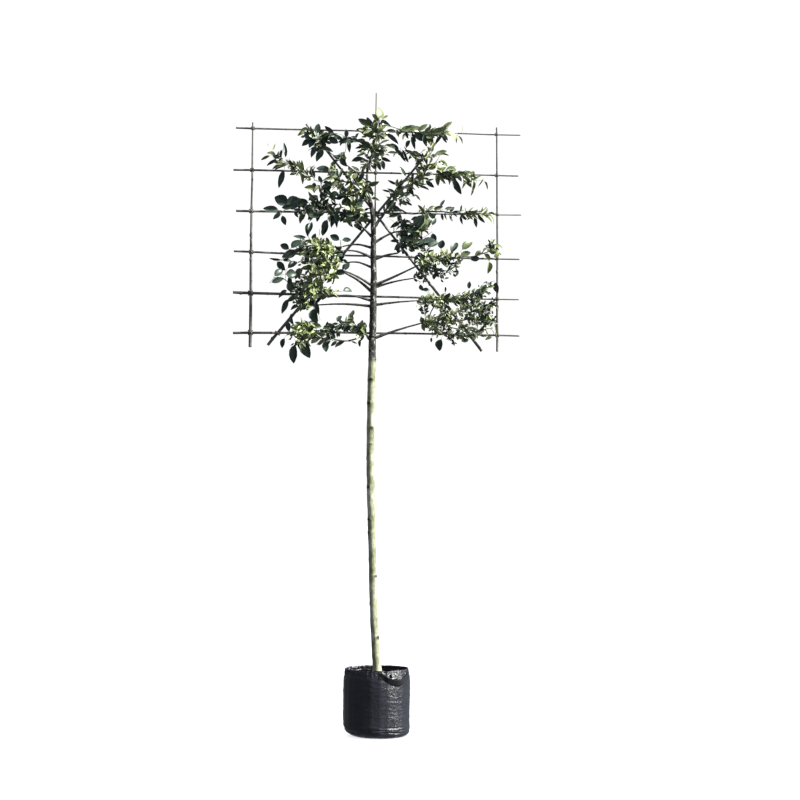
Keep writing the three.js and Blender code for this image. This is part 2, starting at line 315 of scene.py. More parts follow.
def tagMaterial():
    material, tree, surface = shader("blankTag", Roughness=0.45, Specular_IOR_Level=0.5)
    place = objectSpace(tree)
    tone = ramp(tree, cloud(tree, place, 150, 4, 0.6), (0.42, (0.012, 0.0125, 0.015)),
                (0.6, (0.09, 0.094, 0.1)))
    link(tree, tone, surface.inputs["Base Color"])
    relief(tree, surface, cloud(tree, place, 220, 3), 0.4, 0.001)
    return material


def compostMaterial():
    material, tree, surface = shader("dampCompost", Specular_IOR_Level=0.3)
    place = objectSpace(tree)
    tone = ramp(tree, cloud(tree, place, 90, 6, 0.7), (0.3, (0.006, 0.004, 0.003)),
                (0.55, (0.022, 0.014, 0.009)), (0.78, (0.06, 0.042, 0.026)))
    link(tree, tone, surface.inputs["Base Color"])
    link(tree, ramp(tree, cloud(tree, place, 130), (0.3, 0.75), (0.7, 0.98)), surface.inputs["Roughness"])
    relief(tree, surface, cloud(tree, place, 260, 6, 0.75), 0.7, 0.003)
    return material


def wireMaterial():
    material, tree, surface = shader("tieWire", Metallic=0.6)
    place = objectSpace(tree)
    tone = ramp(tree, cloud(tree, place, 300), (0.35, (0.04, 0.035, 0.03)), (0.65, (0.14, 0.12, 0.1)))
    link(tree, tone, surface.inputs["Base Color"])
    link(tree, ramp(tree, cloud(tree, place, 200), (0.3, 0.4), (0.7, 0.7)), surface.inputs["Roughness"])
    return material


# camera, at the height of a person's chest, nine metres off and a little to the left

cameraSetup = {"distance": 9.0, "height": 1.242, "round": 6.34, "heading": 7.124, "pitch": 3.154,
               "lens": 77.58}


def placeCamera(s):
    data = bpy.data.cameras.new("viewCamera")
    data.lens = s["lens"]
    data.sensor_width = 36
    data.clip_end = 200
    camera = bpy.data.objects.new("viewCamera", data)
    a = math.radians(s["round"])
    camera.location = (-s["distance"] * math.sin(a), -s["distance"] * math.cos(a), s["height"])
    camera.rotation_euler = (math.radians(90 + s["pitch"]), 0, -math.radians(s["heading"]))
    scene.collection.objects.link(camera)
    scene.camera = camera


placeCamera(cameraSetup)
print("camera placed")


# rods: tubes along a line, with a straightened space for their grain


def turnFrames(path):  # carries one pair of cross directions along a line without twisting it
    path = np.asarray(path, float)
    heading = unit(np.gradient(path, axis=0))
    start = np.array([0, 1.0, 0]) if abs(heading[0][1]) < 0.9 else np.array([1.0, 0, 0])
    first, second = [], []
    side = unit(start - heading[0] * start.dot(heading[0]))
    for h in heading:
        side = unit(side - h * side.dot(h))
        first.append(side)
        second.append(np.cross(h, side))
    return np.array(first), np.array(second), heading


def runAlong(path):  # the distance from a line's start to each of its points
    return np.concatenate([[0], np.cumsum(np.linalg.norm(np.diff(path, axis=0), axis=1))])


def tube(path, radii, sides, swell=None, shift=0.0, hollow=0.0):
    path = np.asarray(path, float)
    radii = np.asarray(radii, float)
    a, b, heading = turnFrames(path)
    run = runAlong(path)
    turn = np.linspace(0, 2 * math.pi, sides, endpoint=False)
    across = np.cos(turn)[None, :, None] * a[:, None, :] + np.sin(turn)[None, :, None] * b[:, None, :]
    reach = np.repeat(radii[:, None], sides, axis=1)
    if swell is not None:
        reach = reach + swell(run, turn)
    points = path[:, None, :] + across * reach[:, :, None]
    count = len(path)
    rings = points.reshape(-1, 3)
    lengthwise = np.repeat(run[:, None], sides, axis=1)
    flat = np.stack([reach * np.cos(turn), reach * np.sin(turn), lengthwise], axis=-1)
    grain = flat.reshape(-1, 3) + np.array([0, 0, shift])
    i = np.arange(count - 1)[:, None] * sides
    k = np.arange(sides)[None, :]
    n = (k + 1) % sides
    quads = np.stack([i + k, i + n, i + n + sides, i + k + sides], axis=-1).reshape(-1, 4)
    faces = [tuple(q) for q in quads.tolist()]
    for end, step in ((0, -1), (count - 1, 1)):
        ring = list(range(end * sides, end * sides + sides))
        if hollow:  # a cut cane shows its wall and the dark inside
            base = len(rings)
            middle = path[end]
            rim = middle + (points[end] - middle) * hollow
            well = rim - heading[end] * step * radii[end] * 2.5
            rings = np.vstack([rings, rim, well])
            grain = np.vstack([grain, grain[ring], grain[ring]])
            for c in range(sides):
                d = (c + 1) % sides
                for lo, hi in (([ring[c], ring[d]], [base + c, base + d]),
                               ([base + c, base + d], [base + sides + c, base + sides + d])):
                    quad = (lo[0], lo[1], hi[1], hi[0])
                    faces.append(quad if step > 0 else quad[::-1])
            floor = list(range(base + sides, base + 2 * sides))
            faces.append(tuple(floor if step > 0 else floor[::-1]))
        else:
            faces.append(tuple(ring if step > 0 else ring[::-1]))
    return rings, faces, grain


def resample(path, step):
    path = np.asarray(path, float)
    run = runAlong(path)
    count = max(2, int(round(run[-1] / step)) + 1)
    at = np.linspace(0, run[-1], count)
    return np.stack([np.interp(at, run, path[:, c]) for c in range(3)], axis=1), at / run[-1]


def spreadOut(values, share):  # evenly spaced values, read at new shares of the way
    return np.interp(share, np.linspace(0, 1, len(values)), values)


def average(values, reach):  # a running mean over this many neighbours on each side
    width = 2 * reach + 1
    return np.convolve(np.pad(values, reach, mode="edge"), np.ones(width) / width, mode="valid")


def smoothLine(line, times):
    line = line.copy()
    for _ in range(times):
        line[1:-1] = line[1:-1] * 0.5 + (line[:-2] + line[2:]) * 0.25
    return line


def centreLine(node, direction, count, margin=0.0):  # reads a rod's middle and radius off its CAD mesh
    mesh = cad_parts[node].data
    co = np.empty(len(mesh.vertices) * 3)
    mesh.vertices.foreach_get("co", co)
    co = co.reshape(-1, 3)
    ends = np.empty(len(mesh.edges) * 2, np.int32)
    mesh.edges.foreach_get("vertices", ends)
    ends = ends.reshape(-1, 2)
    direction = unit(direction)
    level = co @ direction
    low, high = level.min(), level.max()
    span = high - low
    line, radii = [], []
    for s in np.linspace(low + span * margin + 1e-5, high - span * margin - 1e-5, count):
        a, b = level[ends[:, 0]], level[ends[:, 1]]
        crossing = (a - s) * (b - s) < 0
        p, q = co[ends[crossing, 0]], co[ends[crossing, 1]]
        t = ((s - a[crossing]) / (b[crossing] - a[crossing]))[:, None]
        hit = p + (q - p) * t
        middle = (hit.max(axis=0) + hit.min(axis=0)) / 2
        line.append(middle)
        radii.append(np.linalg.norm(hit - middle, axis=1).max())
    return np.array(line), np.array(radii)


# the stem, with its flare, collars and scars

stemPiece = {"sides": 56, "step": 0.0036, "buried": 0.016, "scars": 30, "scarsFrom": 0.42, "scarsTo": 2.9,
             "scarStray": 0.03, "collar": 0.0026, "ring": 0.0008, "sunk": 0.0022, "kink": 0.0022,
             "kinksPerMetre": 9, "slimFoot": 0.12, "slimFade": 0.07, "flare": 0.0022, "flareFade": 0.035,
             "lumps": 0.0011, "pores": 0.0004}


def stemShape(s):
    line, radii = centreLine("trunk", (0, 0, 1), 150)
    radii = average(radii, 3)
    line = smoothLine(line, 5)
    line = np.vstack([line[0] - [0, 0, s["buried"]], line])
    radii = np.concatenate([[radii[0] * 1.12], radii])
    path, share = resample(line, s["step"])
    radii = spreadOut(radii, share)
    heights = path[:, 2]
    radii *= 1 - s["slimFoot"] * np.exp(-(heights - heights[0]) / s["slimFade"])
    strength = smoothStep(heights, 0.36, 0.5) * (1 - smoothStep(heights, 3.0, 3.2))
    for axis, seed in ((0, 3.1), (1, 8.7)):
        waves = [noise.noise(Vector((seed, 0, z * s["kinksPerMetre"]))) for z in heights]
        path[:, axis] += s["kink"] * strength * np.array(waves)
    places = np.linspace(s["scarsFrom"], s["scarsTo"], s["scars"])
    places = places + rng.uniform(-s["scarStray"], s["scarStray"], s["scars"])
    # each scar: its height, the way it faces, its size and how tall it is
    scars = [(z, rng.uniform(0, 2 * math.pi), rng.uniform(0.6, 1.25), rng.uniform(0.008, 0.014))
             for z in places]

    def swell(run, turn):
        z = heights[:, None]
        c, d = np.cos(turn)[None, :], np.sin(turn)[None, :]
        base = radii[:, None]
        out = np.zeros((len(run), len(turn)))
        flare = np.exp(-(z - heights[0]) / s["flareFade"])
        lobes = np.sin(5 * turn + 0.7)[None, :] * 0.6 + np.sin(3 * turn + 2.2)[None, :] * 0.5
        out += s["flare"] * flare * lobes
        for height, where, size, tall in scars:  # a collar with a sunk scar in its middle
            near = np.exp(-(((z - height) / tall) ** 2))
            facing = np.cos(turn - where)[None, :]
            out += size * s["collar"] * near * np.clip(facing, 0, 1) ** 3
            out += size * s["ring"] * near
            pit = np.exp(-(((z - height) / (tall * 0.4)) ** 2))
            out -= size * s["sunk"] * pit * np.clip(facing, 0, 1) ** 16
        sample = np.stack([c * base, d * base, z + 0 * c], axis=-1).reshape(-1, 3)
        broad = ripple(sample * [34, 34, 9], 1.0, 2).reshape(out.shape)
        fine = ripple(sample * [240, 240, 40], 1.0, 2).reshape(out.shape)
        scale = np.clip(base / 0.018, 0.2, 1)
        return (out * scale) + broad * s["lumps"] * scale + fine * s["pores"] * scale

    turn = np.linspace(0, 2 * math.pi, s["sides"], endpoint=False)[None, :]
    worn = np.zeros((len(heights), s["sides"]))
    for height, where, size, tall in scars:  # how much of each scar's dark bark lies at a point
        near = np.exp(-(((heights[:, None] - height) / (tall * 0.75)) ** 2))
        worn = np.maximum(worn, size * near * np.clip(np.cos(turn - where), 0, 1) ** 5)
    return path, radii, swell, worn.ravel()


stemPath, stemRadii, stemSwell, stemWorn = stemShape(stemPiece)
barkLook = barkMaterial()
points, faces, grain = tube(stemPath, stemRadii, stemPiece["sides"], stemSwell, shift=stemPath[0][2])
stem = makePiece("stem_bark", points, faces, [barkLook], grain=grain)
scarLayer = stem.data.attributes.new("scar", "FLOAT", "POINT")
scarLayer.data.foreach_set("value", stemWorn.astype(np.float32))
settle(stem, "bark", "trunk")
print("stem made", len(faces))


# the boughs, each swelling into a collar where it leaves the stem

boughPiece = {"sides": 14, "step": 0.004, "collar": 0.5, "collarLength": 0.018, "firstKnot": 0.04,
              "knotGap": 0.045, "knotStray": 0.008, "knotLength": 0.004, "wave": 0.05, "wavesPerMetre": 90}
boughNodes = sorted(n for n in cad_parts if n.startswith("bough_"))
boughLook = youngBarkMaterial("boughBark", (0.01, 0.01, 0.009), (0.045, 0.044, 0.034))
boughTips = []


def nearestOnStem(point):
    return int(np.linalg.norm(stemPath - point, axis=1).argmin())


def boughShape(node):
    low, high = corners(node)
    leftward = node.startswith("bough_left")
    rise = high[2] - low[2]
    run = high[0] - low[0]
    slope = rise / max(run, 1e-6)
    heading = unit((-1 if leftward else 1, 0, 0.8 * slope))
    line, radii = centreLine(node, heading, 13, 0.1)
    line = smoothLine(line, 2)
    radii = average(radii, 2)
    start = line[0] - (line[1] - line[0]) * 1.2
    end = line[-1] + (line[-1] - line[-2]) * 1.2
    at = nearestOnStem(start)
    inward = stemPath[at] + unit(start - stemPath[at]) * stemRadii[at] * 0.5
    line = np.vstack([inward, start, line, end])
    radii = np.concatenate([[radii[0], radii[0]], radii, [radii[-1] * 0.94]])
    path, share = resample(line, boughPiece["step"])
    path = smoothLine(path, 6)
    radii = spreadOut(radii, share)
    return path, radii


heap = Heap()
for number, node in enumerate(boughNodes):
    path, radii = boughShape(node)
    run = np.arange(len(path)) * boughPiece["step"]
    radii = radii * (1 + boughPiece["collar"] * np.exp(-run / boughPiece["collarLength"]))
    places = np.arange(boughPiece["firstKnot"], run[-1], boughPiece["knotGap"])
    places = places + rng.uniform(-boughPiece["knotStray"], boughPiece["knotStray"])
    knots = [(at, rng.uniform(0.08, 0.2)) for at in places]

    def swell(r, turn):
        out = np.zeros((len(r), len(turn)))
        for at, size in knots:
            out += radii[:, None] * size * np.exp(-(((r[:, None] - at) / boughPiece["knotLength"]) ** 2))
        wave = np.sin(3 * turn + number)[None, :] * np.sin(r * boughPiece["wavesPerMetre"] + number)[:, None]
        return out + radii[:, None] * boughPiece["wave"] * wave

    points, faces, grain = tube(path, radii, boughPiece["sides"], swell, shift=number * 1.3)
    heap.add(points, faces, 0, grain)
    boughTips.append((path[-1], unit(path[-1] - path[-4]), radii[-1]))
boughs = heap.piece("bough_bark", [boughLook])
settle(boughs, "bough", *boughNodes)
print("boughs made", len(boughNodes))


# bamboo canes with knuckles, stubs and hollow cut ends

canePiece = {"sides": 16, "step": 0.006, "joint": 0.17, "ridge": 0.16, "bud": 0.45, "bend": 0.0012,
             "hole": 0.62, "stout": 1.12}
caneNodes = sorted(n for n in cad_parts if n.startswith("cane_"))
caneLook = caneMaterial()
canes = {}

for number, node in enumerate(caneNodes):
    low, high = corners(node)
    size = high - low
    alongX = size[0] > size[2] * 0.6
    direction = np.array([1, 0, 0]) if alongX else np.array([0, 0, 1])
    if "slant" in node:
        direction = np.array([-size[0] if node == "cane_slant_down" else size[0], 0, size[2]])
    line, radii = centreLine(node, direction, 24, 0.004)
    radii = radii * canePiece["stout"]
    line = np.vstack([line[0] - (line[1] - line[0]) * 0.09, line, line[-1] + (line[-1] - line[-2]) * 0.09])
    radii = np.concatenate([radii[:1], radii, radii[-1:]])
    path, share = resample(line, canePiece["step"])
    radii = spreadOut(radii, share)
    length = canePiece["step"] * (len(path) - 1)
    knuckles = []
    at = rng.uniform(0.03, 0.1)
    while at < length - 0.015:
        knuckles.append(at)
        at += canePiece["joint"] * rng.uniform(0.75, 1.25)
    run = np.linspace(0, length, len(path))
    drift = np.zeros((len(path), 3))
    for seed, axis in ((1.7, 1), (5.3, 0 if not alongX else 2)):
        offsets = rng.uniform(-1, 1, len(knuckles) + 2) * canePiece["bend"]
        drift[:, axis] = np.interp(run, [0, *knuckles, length], offsets)
    stubs = [(k, rng.uniform(0, 2 * math.pi)) for k in knuckles]

    def swell(r, turn):
        out = np.zeros((len(r), len(turn)))
        for at, where in stubs:
            past = r[:, None] - at
            ring = np.exp(-((past / 0.0035) ** 2)) - 0.35 * np.exp(-(((past - 0.008) / 0.005) ** 2))
            out += radii[:, None] * canePiece["ridge"] * ring
            bud = np.exp(-(((past - 0.004) / 0.006) ** 2)) * np.clip(np.cos(turn - where), 0, 1)[None, :] ** 8
            out += radii[:, None] * canePiece["bud"] * bud
        return out

    canes[node] = (path + drift, radii)
    points, faces, grain = tube(path + drift, radii, canePiece["sides"], swell, number * 2.1,
                                canePiece["hole"])
    cane = makePiece("bamboo_" + node[5:], points, faces, [caneLook], grain=grain)
    settle(cane, "cane", node)
print("canes made", len(caneNodes))


# ties: twisted wire where canes cross, soft tape round the stem and the centre cane

tiePiece = {"wire": 0.0011, "turns": 2.6, "steps": 60, "spread": 0.0018, "tail": 0.016, "tailSteps": 22,
            "twist": 0.0012, "nearEnough": 0.008, "tape": 0.003, "tapeThick": 0.0011, "tapeWave": 0.0012,
            "tapeAround": 48, "tapeHeights": (2.07, 2.49)}
tieLook = wireMaterial()
webbingLook = strapMaterial()  # shared by the tape and the bag's straps


def crossing(one, other):  # the place where two canes pass, seen from the front
    a, b = canes[one][0], canes[other][0]
    flatA, flatB = a[:, [0, 2]], b[:, [0, 2]]
    gaps = np.linalg.norm(flatA[:, None, :] - flatB[None, :, :], axis=2)
    i, k = np.unravel_index(gaps.argmin(), gaps.shape)
    return (i, k) if gaps[i, k] < tiePiece["nearEnough"] else None


def wireTie(heap, one, other):
    hit = crossing(one, other)
    if hit is None:
        return
    (a, ra), (b, rb) = canes[one], canes[other]
    i, k = hit
    steps = tiePiece["steps"]
    middle = (a[i] + b[k]) / 2
    deep = abs(a[i][1] - b[k][1]) / 2 + max(ra[i], rb[k]) + 0.001
    wide = (ra[i] + rb[k]) * 0.95 + 0.002
    for lean in (1, -1):
        diagonal = unit(np.array([lean, 0, 1.0]))
        cross = np.array([diagonal[2], 0, -diagonal[0]])
        t = np.linspace(0, 2 * math.pi * tiePiece["turns"], steps)
        c, s = np.cos(t), np.sin(t)
        squared = (np.abs(c) ** 4 + np.abs(s) ** 4) ** -0.25  # draws the loop tight round the canes
        loop = middle + diagonal * (wide * c * squared)[:, None]
        loop = loop + np.array([0, 1.0, 0]) * (deep * s * squared)[:, None]
        loop = loop + cross * (np.linspace(-1, 1, steps) * tiePiece["spread"])[:, None]
        points, faces, grain = tube(loop, np.full(steps, tiePiece["wire"]), 6)
        heap.add(points, faces, 0, grain)
    t = np.linspace(0, 1, tiePiece["tailSteps"])
    out = unit(np.array([rng.uniform(-0.5, 0.5), -1, rng.uniform(-0.6, 0.6)]))
    side = unit(np.cross(out, [0, 0, 1]))
    up = np.cross(side, out)
    tail = middle - np.array([0, deep, 0]) + out * (t * tiePiece["tail"])[:, None]
    twist = tiePiece["twist"]
    tail = tail + side * (twist * np.cos(t * 26))[:, None] + up * (twist * np.sin(t * 26))[:, None]
    points, faces, grain = tube(tail, np.full(len(t), tiePiece["wire"]), 6)
    heap.add(points, faces, 0, grain)


def tapeTie(heap, height):  # a band drawn round the stem and the cane behind it
    at = int(np.abs(stemPath[:, 2] - height).argmin())
    path, radii = canes["cane_centre"]
    k = int(np.abs(path[:, 2] - height).argmin())
    centres = [(stemPath[at][:2], stemRadii[at] + 0.0022), (path[k][:2], radii[k] + 0.0016)]
    around, half = tiePiece["tapeAround"], tiePiece["tape"]
    turn = np.linspace(0, 2 * math.pi, around, endpoint=False)
    facing = np.stack([np.cos(turn), np.sin(turn)], axis=1)
    reach = np.array([[c @ f + r for c, r in centres] for f in facing])
    hull = [centres[int(w)][0] + f * centres[int(w)][1] for f, w in zip(facing, reach.argmax(axis=1))]
    rings, faces = [], []
    for n, p in enumerate(hull):
        wave = tiePiece["tapeWave"] * math.sin(3 * turn[n] + height * 40)
        out = np.array([*facing[n], 0]) * tiePiece["tapeThick"]
        p3 = np.array([*p, height + wave])
        rings += [p3 - [0, 0, half], p3 + out - [0, 0, half * 0.9], p3 + out + [0, 0, half * 0.9],
                  p3 + [0, 0, half]]
    for n in range(around):
        m = (n + 1) % around
        for c in range(4):
            d = (c + 1) % 4
            faces.append((n * 4 + c, m * 4 + c, m * 4 + d, n * 4 + d))
    heap.add(np.array(rings), faces)


wires, tapes = Heap(), Heap()
rows = [n for n in caneNodes if "row" in n]
for row in rows:
    for other in [n for n in caneNodes if "row" not in n]:
        wireTie(wires, row, other)
for height in tiePiece["tapeHeights"]:
    tapeTie(tapes, height)
settle(wires.piece("panel_wire_ties", [tieLook]), "cane")
settle(tapes.piece("stem_tape_ties", [webbingLook]), "strap")
print("ties made")


# leaves: an oval, pointed blade folded on its midrib, on a short stalk

leafShares = np.array([0.0, 0.14, 0.34, 0.56, 0.77, 0.92, 1.0])


def bladeTemplate(width, fold, curl, twist, wave):  # one leaf of unit length along +Y, its face up
    widths = width * np.sin(math.pi * leafShares ** 0.86) ** 0.8
    widths[0], widths[-1] = 0.012, 0.0
    stalk = 0.16
    points = []
    for s, w in zip(leafShares, widths):
        sink = -curl * s * s
        lean = twist * s
        edge = wave * math.sin(9 * s)
        for side in (-1, 0, 1):
            x = side * w * math.cos(fold)
            z = abs(side) * w * math.sin(fold) + sink + side * w * lean + abs(side) * edge * w
            points.append((x, stalk + s * (1 - 0.25 * curl * s), z))
    rib = 0.0016 / 0.05
    for s in leafShares[:-1]:  # the raised midrib
        sink = -curl * s * s
        thick = rib * (1 - 0.8 * s)
        y = stalk + s * (1 - 0.25 * curl * s)
        points += [(-thick, y, sink + 0.004 + thick * 0.4), (thick, y, sink + 0.004 + thick * 0.4)]
    for y in (0.0, stalk + 0.02):
        for a in (0, 2.1, 4.2):
            points.append((0.02 * math.cos(a), y, 0.02 * math.sin(a)))
    return np.array(points)


def bladeFaces():
    blade, rib, stalk = [], [], []
    rows = len(leafShares)
    for i in range(rows - 1):
        for k in (0, 1):
            a = i * 3 + k
            blade.append((a, a + 1, a + 4, a + 3))
    base = rows * 3
    for i in range(rows - 2):
        a = base + i * 2
        rib.append((a, a + 1, a + 3, a + 2))
    base += (rows - 1) * 2
    for k in range(3):
        d = (k + 1) % 3
        stalk.append((base + k, base + d, base + 3 + d, base + 3 + k))
    return blade, rib, stalk


leafFaces = bladeFaces()
leafForms = [bladeTemplate(0.5, 0.28, 0.16, 0.0, 0.05), bladeTemplate(0.5, 0.5, 0.34, 0.25, -0.06),
             bladeTemplate(0.5, 0.16, 0.05, -0.3, 0.08), bladeTemplate(0.5, 0.4, 0.5, -0.15, 0.04),
             bladeTemplate(0.5, 0.62, 0.22, 0.1, 0.1)]


class Foliage:
    def __init__(self):
        self.rows = []

    def leaf(self, root, along, face, length, slim, tint):
        along = unit(along)
        face = unit(face - along * np.dot(face, along))
        self.rows.append((root, along, face, length, slim, tint, int(rng.integers(len(leafForms)))))

    def piece(self, name, materials):
        heap = Heap()
        blade, rib, stalk = leafFaces
        for root, along, face, length, slim, tint, form in self.rows:
            shape = leafForms[form] * [slim, 1, 1] * length
            side = np.cross(along, face)
            points = root + shape[:, :1] * side + shape[:, 1:2] * along + shape[:, 2:] * face
            slots = [tint] * len(blade) + [len(materials) - 1] * (len(rib) + len(stalk))
            heap.add(points, blade + rib + stalk, slots)
        return heap.piece(name, materials)


# the plan of the foliage: for each mass its leaf and the sprays in it, as shares of its box
# spray: across, up, spread in metres, leafy shoots, tint 0 dark to 3 young
# single: across, up, the way its tip points in degrees, length in metres, width for its length, tint

